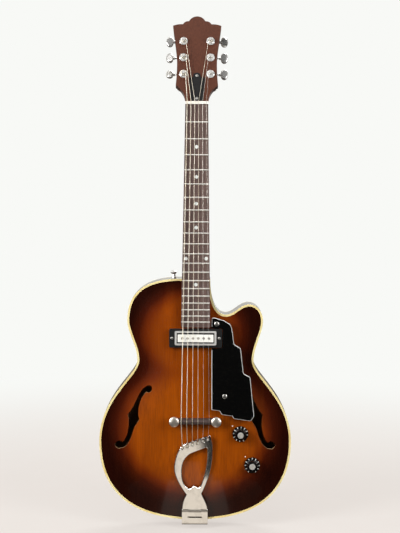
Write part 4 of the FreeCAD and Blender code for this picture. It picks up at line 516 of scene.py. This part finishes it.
black_plastic, _ = wiped_plastic("black_plastic", "0b0b0b", "1c1b19")
white_plastic, _ = wiped_plastic("white_plastic", "f4f2ea", "e6e1d3", 0.2, rounding=0.5)
grey_plastic, _ = wiped_plastic("grey_plastic", "1e1e1e", "302f2c", 0.3, rounding=0.4)
taped_coil, _ = wiped_plastic("taped_coil", "151515", "262522", 0.45)
lead_skin, _ = wiped_plastic("lead_skin", "1d1c1a", "2e2c28", 0.4)
finish_nodes(layered_plastic("layered_plastic"), "pickguard")
finish_nodes(grey_plastic, "pickup_frame", "truss_rod_cover")
finish_nodes(black_plastic, "volume_knob", "tone_knob", "pickguard_spacers")
finish_nodes(white_plastic, "pickup_insert")
finish_nodes(taped_coil, "pickup_coil")
finish_nodes(lead_skin, "wiring")

# %% [markdown]
# New pieces are made as bmeshes. One helper turns a bmesh into a named piece: it moves it to its place,
# tells edges that are meant to be sharp from those that are round, gives it a finish, and lets it ride on a
# body of the guitar.

# %% From a bmesh to a piece
SHARP = math.radians(38)
SAME_PLACE = 1e-6
ON_PLANE = 1e-7
UPWARD = 0.3


def make_piece(name, shape, place, body, materials, replaces=()):
    bmesh.ops.transform(shape, matrix=place, verts=shape.verts)
    bmesh.ops.recalc_face_normals(shape, faces=shape.faces)
    for face in shape.faces:
        face.smooth = True
    for edge in shape.edges:
        edge.smooth = len(edge.link_faces) == 2 and edge.calc_face_angle() < SHARP
    mesh = bpy.data.meshes.new(name)
    shape.to_mesh(mesh)
    shape.free()
    for finish in materials:
        mesh.materials.append(finish.material)
    thing = bpy.data.objects.new(name, mesh)
    bpy.context.scene.collection.objects.link(thing)
    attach(thing, body)
    if replaces:
        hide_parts(*replaces)
    print(name, len(mesh.polygons), "faces")


def spun(profile, steps):
    """A closed shape turned about Z from (radius, height) points in millimetres, poles included."""
    shape = bmesh.new()
    points = [shape.verts.new((radius * MM, 0, height * MM)) for radius, height in profile]
    edges = [shape.edges.new(pair) for pair in zip(points, points[1:])]
    bmesh.ops.spin(shape, geom=points + edges, axis=(0, 0, 1), cent=(0, 0, 0), angle=2 * math.pi,
                   steps=steps, use_merge=True)
    bmesh.ops.remove_doubles(shape, verts=shape.verts, dist=SAME_PLACE)
    bmesh.ops.recalc_face_normals(shape, faces=shape.faces)
    return shape


def cut_slot(shape, half_width, floor):
    """Sinks a screwdriver slot across the top of a spun head, down to a height in millimetres."""
    for side in (-1, 1):
        everything = shape.verts[:] + shape.edges[:] + shape.faces[:]
        bmesh.ops.bisect_plane(shape, geom=everything, dist=ON_PLANE,
                               plane_co=(side * half_width * MM, 0, 0), plane_no=(1, 0, 0))
    inside = [face for face in shape.faces
              if abs(face.calc_center_median().x) < half_width * MM and face.normal.z > UPWARD]
    sunk = bmesh.ops.extrude_face_region(shape, geom=inside)["geom"]
    bmesh.ops.delete(shape, geom=inside, context="FACES")
    for vertex in [item for item in sunk if isinstance(item, bmesh.types.BMVert)]:
        vertex.co.z = floor * MM
    return shape


def joined(shapes):
    """Several bmeshes as one."""
    whole = bmesh.new()
    for shape in shapes:
        mesh = bpy.data.meshes.new("part")
        shape.to_mesh(mesh)
        shape.free()
        whole.from_mesh(mesh)
        bpy.data.meshes.remove(mesh)
    return whole


print("piece helpers ready")

# %% [markdown]
# Each knob is moulded plastic: a skirt with painted ticks, a fluted grip and a slotted metal cap on top.
# The grip is a spun profile whose every second column of points is drawn in a little, which is how a
# moulder's flutes look from the front. A tick is left out where the scale begins and ends. Profiles are
# (radius, height) points in millimetres.

# %% Knobs
FLUTE_COLUMNS = 48
FLUTE_SHARE = 0.955
GRIP_FOOT = 4.0
GRIP_TOP = 14.2
GRIP_PROFILE = ((0, 0), (14.0, 0), (14.4, 0.4), (14.4, 2.0), (13.6, 2.9), (11.4, 3.2), (10.5, 3.5),
                (10.2, GRIP_FOOT), (9.6, GRIP_TOP - 0.6), (9.2, GRIP_TOP), (8.6, 15.0), (6.4, 15.0),
                (6.0, 14.4), (0, 14.4))
CAP_PROFILE = ((0, 14.4), (5.6, 14.4), (5.6, 14.8), (5.3, 15.6), (4.9, 16.2), (0, 16.2))
CAP_STEPS = 32
CAP_SLOT_HALF_WIDTH = 0.9
CAP_SLOT_FLOOR = 14.9
TICK_COUNT = 11
TICK_TURN = math.radians(30)
TICK_SIZE = (3.2, 1.1, 0.5)
TICK_RADIUS = 12.4
TICK_HEIGHT = 3.05


def fluted_knob():
    shape = spun(GRIP_PROFILE, FLUTE_COLUMNS)
    for vertex in shape.verts:
        column = round(math.atan2(vertex.co.y, vertex.co.x) / (2 * math.pi) * FLUTE_COLUMNS)
        if column % 2 and GRIP_FOOT * MM - SAME_PLACE < vertex.co.z < GRIP_TOP * MM - SAME_PLACE:
            vertex.co.x *= FLUTE_SHARE
            vertex.co.y *= FLUTE_SHARE
    return shape


def tick_ring(first_angle):
    """Painted ticks on the skirt, counted from the gap in the scale."""
    ticks = []
    for number in range(TICK_COUNT):
        tick = bmesh.new()
        bmesh.ops.create_cube(tick, size=MM)
        bmesh.ops.scale(tick, vec=TICK_SIZE, verts=tick.verts)
        bmesh.ops.translate(tick, vec=(TICK_RADIUS * MM, 0, TICK_HEIGHT * MM), verts=tick.verts)
        turn = Matrix.Rotation(first_angle + number * TICK_TURN, 4, "Z")
        bmesh.ops.transform(tick, matrix=turn, verts=tick.verts)
        ticks.append(tick)
    return joined(ticks)


def slotted_cap(slot_angle):
    cap = spun(CAP_PROFILE, CAP_STEPS)
    cut_slot(cap, CAP_SLOT_HALF_WIDTH, CAP_SLOT_FLOOR)
    bmesh.ops.rotate(cap, verts=cap.verts, matrix=Matrix.Rotation(math.radians(slot_angle), 3, "Z"))
    return cap


def make_knob(label, gap_angle, slot_angle):
    """A knob on its dial; both angles are in degrees."""
    low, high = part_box(f"{label}_knob")
    place = looking(Vector(((low.x + high.x) / 2, high.y, (low.z + high.z) / 2)), Vector((0, -1, 0)))
    body = f"{label}_dial"
    first = math.radians(gap_angle) + TICK_TURN
    make_piece(f"{label}_knob_grip", fluted_knob(), place, body, [black_plastic],
               [f"{label}_knob"])
    make_piece(f"{label}_knob_ticks", tick_ring(first), place, body, [white_plastic])
    make_piece(f"{label}_knob_cap", slotted_cap(slot_angle), place, body, [brushed_cap])


make_knob("volume", -35, -40)
make_knob("tone", -90, -65)

# %% [markdown]
# Beside each knob a small white dot is let into the top as the mark to read the ticks against. A ray from
# the front finds where the arched top is at that spot, so the dot sits in the surface whatever its arch.

# %% Marks to read the ticks against
DOT_PROFILE = ((0, -0.4), (1.2, -0.4), (1.2, 0.1), (0.8, 0.35), (0, 0.45))
DOT_STEPS = 20
DOT_PLACES = ((67.8, 176.0), (91.5, 119.4))
WELL_IN_FRONT = 0.1


def on_the_top(x, z):
    """Place and outward direction of the top's surface at a spot seen from the front."""
    start = Vector((x * MM, CAD_LOW.y - WELL_IN_FRONT, z * MM))
    _, place, outward, _ = nodes["top_plate"].ray_cast(start, Vector((0, 1, 0)))
    return place, outward


def mark_dot(x, z):
    dot = spun(DOT_PROFILE, DOT_STEPS)
    place, outward = on_the_top(x, z)
    bmesh.ops.transform(dot, matrix=looking(place, outward), verts=dot.verts)
    return dot


dots = joined([mark_dot(x, z) for x, z in DOT_PLACES])
make_piece("dial_marks", dots, Matrix.Identity(4), "guitar", [white_plastic])

# %% [markdown]
# The screws that show have oval slotted heads. One spun dome with a slot stands for each, set at the place
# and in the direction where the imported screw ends, with the slots turned to different angles as a hand
# leaves them. Places are in millimetres, in the frame of the head, the neck or the body.

# %% Screw heads
SMALL_HEAD = 2.4
TAIL_HEAD = 3.0
GUARD_HEAD = 4.2
DOME_FOOT = -0.5
DOME_TOP = 0.9
DOME_SHARES = ((1.0, DOME_FOOT), (1.0, 0.1), (0.86, 0.45), (0.6, 0.72), (0.3, 0.86))
DOME_STEPS = 28
SLOT_SHARE = 0.16
SLOT_FLOOR = 0.15
SLOT_ANGLES = (20, 75, 130, 50, 100, 5)
TRUSS_COVER_SCREWS = [(0, -2.2, up) for up in (5.4, 48.6)]
TUNER_PLATE_SCREWS = [(side, 16.2, 34.25 + 31.7 * row) for side in (-24.6, 24.6) for row in range(4)]
PICKUP_SCREWS = [(side, 3.2, PICKUP_PLACE) for side in (-42.6, 42.6)]
GUARD_SCREWS = [(37.9, 3.0, 176.56), (53.0, 3.0, 45.66)]
BRACKET_SCREWS = [(side, -12.7, -1.8) for side in (-11.75, 11.75)]
TAIL_BUTTON_SCREW = (0, 0, -14.8)
SHOULDER_BUTTON_SCREW = (-40.77, 0, 455.58)
SHOULDER_OUTWARD = Vector((-0.0591, 0, 0.9983))
DOWNWARD = Vector((0, 0, -1))


def slotted_head(radius):
    """A dome whose (share of the radius, height) points rise to a slotted top."""
    dome = [(radius * share, height) for share, height in DOME_SHARES]
    shape = spun([(0, DOME_FOOT), *dome, (0, DOME_TOP)], DOME_STEPS)
    return cut_slot(shape, radius * SLOT_SHARE, SLOT_FLOOR)


def screw_places():
    """Radius, place and outward direction of every screw head that shows; places are in metres."""
    for place in TRUSS_COVER_SCREWS:
        yield SMALL_HEAD, HEAD @ (Vector(place) * MM), HEAD_FRONT
    for place in TUNER_PLATE_SCREWS:
        yield SMALL_HEAD, HEAD @ (Vector(place) * MM), -HEAD_FRONT
    for place in PICKUP_SCREWS:
        yield SMALL_HEAD, NECK @ (Vector(place) * MM), NECK_FRONT
    for place in GUARD_SCREWS:
        yield GUARD_HEAD, NECK @ (Vector(place) * MM), NECK_FRONT
    for place in [*BRACKET_SCREWS, TAIL_BUTTON_SCREW]:
        yield TAIL_HEAD, Vector(place) * MM, DOWNWARD
    yield TAIL_HEAD, Vector(SHOULDER_BUTTON_SCREW) * MM, SHOULDER_OUTWARD


heads = []
for number, (radius, place, outward) in enumerate(screw_places()):
    turn = Matrix.Rotation(math.radians(SLOT_ANGLES[number % len(SLOT_ANGLES)]), 4, "Z")
    head = slotted_head(radius)
    bmesh.ops.transform(head, matrix=looking(place, outward) @ turn, verts=head.verts)
    heads.append(head)
make_piece("screw_heads", joined(heads), Matrix.Identity(4), "guitar", [rubbed_chrome],
           ["screws"])

# %% [markdown]
# The pickup has a plated bezel round a sunken dark step, out of which the white insert rises with its six
# pole screws. The step is black plastic as a painted reflection of the dark that the plated cover mirrors
# round the insert. The bezel is a stack of rounded rectangles, the outer one twice for the wall and each of
# the rest further in, at its own level. They are bridged one to the next, and the step has a finish of its
# own.

# %% Pickup bezel and pole screws
POLE_COUNT = 6
POLE_GAP = 9.56
POLE_HEAD = 2.3
POLE_DEPTH = -0.7
BEZEL_DEPTH = 0.7
BEZEL_SIZE = (75.0, 25.8)
BEZEL_CORNER = 2.6
INNER_CORNER = 0.4
CORNER_SEGMENTS = 6
BEZEL_RINGS = ((0.0, -3.4), (0.0, 0.0), (0.6, 0.6), (2.8, 0.7), (3.3, 0.2), (3.6, -1.0))


def rounded_plate(inward, level):
    """The bezel's outline, moved inward, as a flat rounded rectangle at a level; both in millimetres."""
    width, height = [(size - 2 * inward) * MM for size in BEZEL_SIZE]
    corner = max(BEZEL_CORNER - inward, INNER_CORNER)
    shape = bmesh.new()
    bmesh.ops.create_grid(shape, x_segments=1, y_segments=1, size=0.5)
    bmesh.ops.scale(shape, vec=(width, height, 1), verts=shape.verts)
    bmesh.ops.bevel(shape, geom=shape.verts[:], offset=corner * MM, segments=CORNER_SEGMENTS,
                    profile=0.5, affect="VERTICES", material=-1)
    bmesh.ops.translate(shape, vec=(0, 0, level * MM), verts=shape.verts)
    return shape


def bezel():
    shape = joined([rounded_plate(inward, level) for inward, level in BEZEL_RINGS])
    plates = shape.faces[:]
    for lower, upper in zip(plates, plates[1:]):
        bmesh.ops.bridge_loops(shape, edges=lower.edges[:] + upper.edges[:])
    # The innermost plate is the step: black plastic as a painted reflection of dark surroundings in the
    # plated cover.
    plates[-1].material_index = 1
    bmesh.ops.delete(shape, geom=plates[1:-1], context="FACES_ONLY")
    return shape


def pickup_at(across, depth):
    """A place on the pickup, facing the player; depth counts backwards in the neck's frame."""
    return looking(NECK @ (Vector((across, depth, PICKUP_PLACE)) * MM), NECK_FRONT)


make_piece("pickup_bezel", bezel(), pickup_at(0, BEZEL_DEPTH), "guitar",
           [bright_plate, black_plastic], ["pickup_cover"])
poles = []
for number in range(POLE_COUNT):
    pole = slotted_head(POLE_HEAD)
    turn = Matrix.Rotation(math.radians(SLOT_ANGLES[number]), 4, "Z")
    across = (number - (POLE_COUNT - 1) / 2) * POLE_GAP
    bmesh.ops.transform(pole, matrix=pickup_at(across, POLE_DEPTH) @ turn, verts=pole.verts)
    poles.append(pole)
make_piece("pole_heads", joined(poles), Matrix.Identity(4), "guitar", [pole_steel],
           ["pole_screws"])

# %% [markdown]
# The picture is a studio shot on pale paper. A flat round floor fades to the white of the room before its
# edge comes into sight, so the guitar can be looked at from any side. What the camera sees of the paper,
# what polished parts mirror and what light it gives back are set apart by kind of ray: the lacquer mirrors
# no bright floor in front of the guitar, and the tailpiece mirrors white cards that lie there unseen.

# %% Paper floor
FLOOR_GAP = 0.0008
FLOOR = CAD_LOW.z - FLOOR_GAP
FLOOR_RADIUS = 5.0
FLOOR_SEGMENTS = 96
PAPER_WHITE = paint("f8f9f6")
NEAR_PAPER = paint("e4dcd6")
DARK_FLOOR = paint("2a2928")
GLOW_SHARE = 0.8
FADE_START, FADE_END = 300.0, 1700.0
FLOOR_MIRROR_FRONT = -200.0
CARDS = ((-66.0, 66.0, -190.0, -70.0), (-46.0, 46.0, -250.0, -190.0), (-46.0, 13.0, -430.0, -250.0))
CARD_WHITE = paint("f2e7d9")
EDGE = 3.0


def by_ray(start, shown, shares):
    """Swaps a share of a shader for a glowing colour, by the kind of ray that meets it."""
    rays = start.node("ShaderNodeLightPath").socket.node.outputs
    for ray, (share, colour) in shares.items():
        glow = start.node("ShaderNodeEmission", None, {"Color": colour})
        part = Signal(start.tree, rays[ray]) * share
        shown = start.node("ShaderNodeMixShader", None, {0: part, 1: shown, 2: glow})
    return shown


def between(place, low, high):
    """One between two places on an axis, zero beyond them."""
    return place.step(low - EDGE, low + EDGE) - place.step(high - EDGE, high + EDGE)


def paper_floor(name):
    finish = Finish(name, {"Roughness": 0.9})
    x, y, _ = finish.axes()
    fibres = finish.noise((60.0, 60.0, 60.0), detail=2.0)
    finish.feed(Base_Color=fibres.mix(paint("e9e6e1"), paint("f1efeb")))
    far = ((x * x + y * y) ** 0.5).step(FADE_START, FADE_END)
    behind = y.step(FLOOR_MIRROR_FRONT - EDGE, FLOOR_MIRROR_FRONT + EDGE)
    cards = sum(between(x, left, right) * between(y, front, back) for left, right, front, back in CARDS)
    mirrored = cards.mix(behind.mix(DARK_FLOOR, paint("6a625b")), CARD_WHITE)
    lit = Signal(finish.start.tree, finish.shader.outputs[0])
    shown = by_ray(finish.start, lit, {
        "Is Camera Ray": (far * (1.0 - GLOW_SHARE) + GLOW_SHARE, far.mix(NEAR_PAPER, PAPER_WHITE)),
        "Is Glossy Ray": (1.0, mirrored),
        "Is Diffuse Ray": (1.0, behind.mix(DARK_FLOOR, paint("a8a49e"))),
    })
    end = finish.start.tree.nodes["Material Output"]
    finish.start.tree.links.new(shown.socket, end.inputs["Surface"])
    return finish


def floor_disc():
    shape = bmesh.new()
    bmesh.ops.create_circle(shape, cap_ends=True, segments=FLOOR_SEGMENTS, radius=FLOOR_RADIUS,
                            matrix=Matrix.Translation((0, 0, FLOOR)))
    return shape


def stage_object(name, shape, finish):
    mesh = bpy.data.meshes.new(name)
    shape.to_mesh(mesh)
    shape.free()
    mesh.materials.append(finish.material)
    thing = bpy.data.objects.new(name, mesh)
    bpy.context.scene.collection.objects.link(thing)


stage_object("paper_floor", floor_disc(), paper_floor("floor_paper"))
print("floor at", round(FLOOR, 4))

# %% [markdown]
# Light comes from two large soft boxes, high and to the sides, so that the lacquer does not mirror them
# into the lens, a small one above for the tilted head, and one from behind for the back. The room is white
# to the camera, and behind the guitar also to polished parts. Its own light is dim: that keeps black
# plastic black and gives polished metal its dark edges.

# %% Lights and room
BEHIND_START, BEHIND_END = -0.1, 0.35
DIM_ROOM = paint("393937")
WHITE_BEHIND = paint("f4f4ee")


def soft_box(name, place, target, size, power):
    """An area light that looks from a place at a target, in metres; power is in watts."""
    light = bpy.data.lights.new(name, "AREA")
    light.shape = "RECTANGLE"
    light.size, light.size_y = size
    light.energy = power
    lamp = bpy.data.objects.new(name, light)
    bpy.context.scene.collection.objects.link(lamp)
    aim = (Vector(target) - Vector(place)).to_track_quat("-Z", "Y")
    lamp.matrix_world = Matrix.Translation(place) @ aim.to_matrix().to_4x4()


soft_box("left_box", place=(-1.7, -1.5, 1.2), target=(0, 0, 0.35), size=(1.0, 1.4), power=66)
soft_box("right_box", place=(1.7, -1.5, 1.1), target=(0, 0, 0.4), size=(0.9, 1.4), power=38)
soft_box("top_box", place=(0, -0.9, 2.4), target=(0, 0, 0.5), size=(1.4, 0.5), power=11)
soft_box("back_box", place=(0.5, 1.8, 2.2), target=(0, 0, 0.4), size=(1.6, 0.9), power=55)


def white_room(name):
    """A world that is white to the camera, white to mirrors behind the guitar, and dim otherwise."""
    world = bpy.data.worlds.new(name)
    world.use_nodes = True
    start = Signal(world.node_tree)
    direction = start.node("ShaderNodeTexCoord", out="Generated")
    split = start.node("ShaderNodeSeparateXYZ", links={0: direction}).socket.node.outputs
    behind = Signal(start.tree, split["Y"]).step(BEHIND_START, BEHIND_END)
    rays = start.node("ShaderNodeLightPath").socket.node.outputs
    mirrored = Signal(start.tree, rays["Is Glossy Ray"]).mix(DIM_ROOM, behind.mix(DIM_ROOM, WHITE_BEHIND))
    seen = Signal(start.tree, rays["Is Camera Ray"]).mix(mirrored, PAPER_WHITE)
    start.tree.links.new(seen.socket, start.tree.nodes["Background"].inputs["Color"])
    return world


bpy.context.scene.world = white_room("white_room")
print("lights set")

# %% [markdown]
# The camera stands a good two metres away with a longer lens, a little above the middle and tipped down, so
# the head does not shrink away as it would close up. It is turned by a hair, as the hand that held it was.
# Its place is in metres, its tip and roll in radians, and lens and sensor in millimetres.

# %% Camera
CAMERA_PLACE = Vector((0.0073, -2.2544, 0.6385))
CAMERA_TIP = 0.0774
CAMERA_ROLL = 0.0052
CAMERA_LENS = 83.57
SENSOR_WIDTH = 36.0
camera_data = bpy.data.cameras.new("camera")
camera_data.sensor_width = SENSOR_WIDTH
camera_data.lens = CAMERA_LENS
camera = bpy.data.objects.new("camera", camera_data)
bpy.context.scene.collection.objects.link(camera)
bpy.context.scene.camera = camera
upright = Matrix.Rotation(math.pi / 2 - CAMERA_TIP, 4, "X")
camera.matrix_world = Matrix.Translation(CAMERA_PLACE) @ upright @ Matrix.Rotation(CAMERA_ROLL, 4, "Z")
bpy.context.scene.view_settings.view_transform = "Standard"
print("camera at", [round(value, 3) for value in CAMERA_PLACE])

# %% [markdown]
# Last, the view layer is brought up to date.

# %% End
bpy.context.view_layer.update()
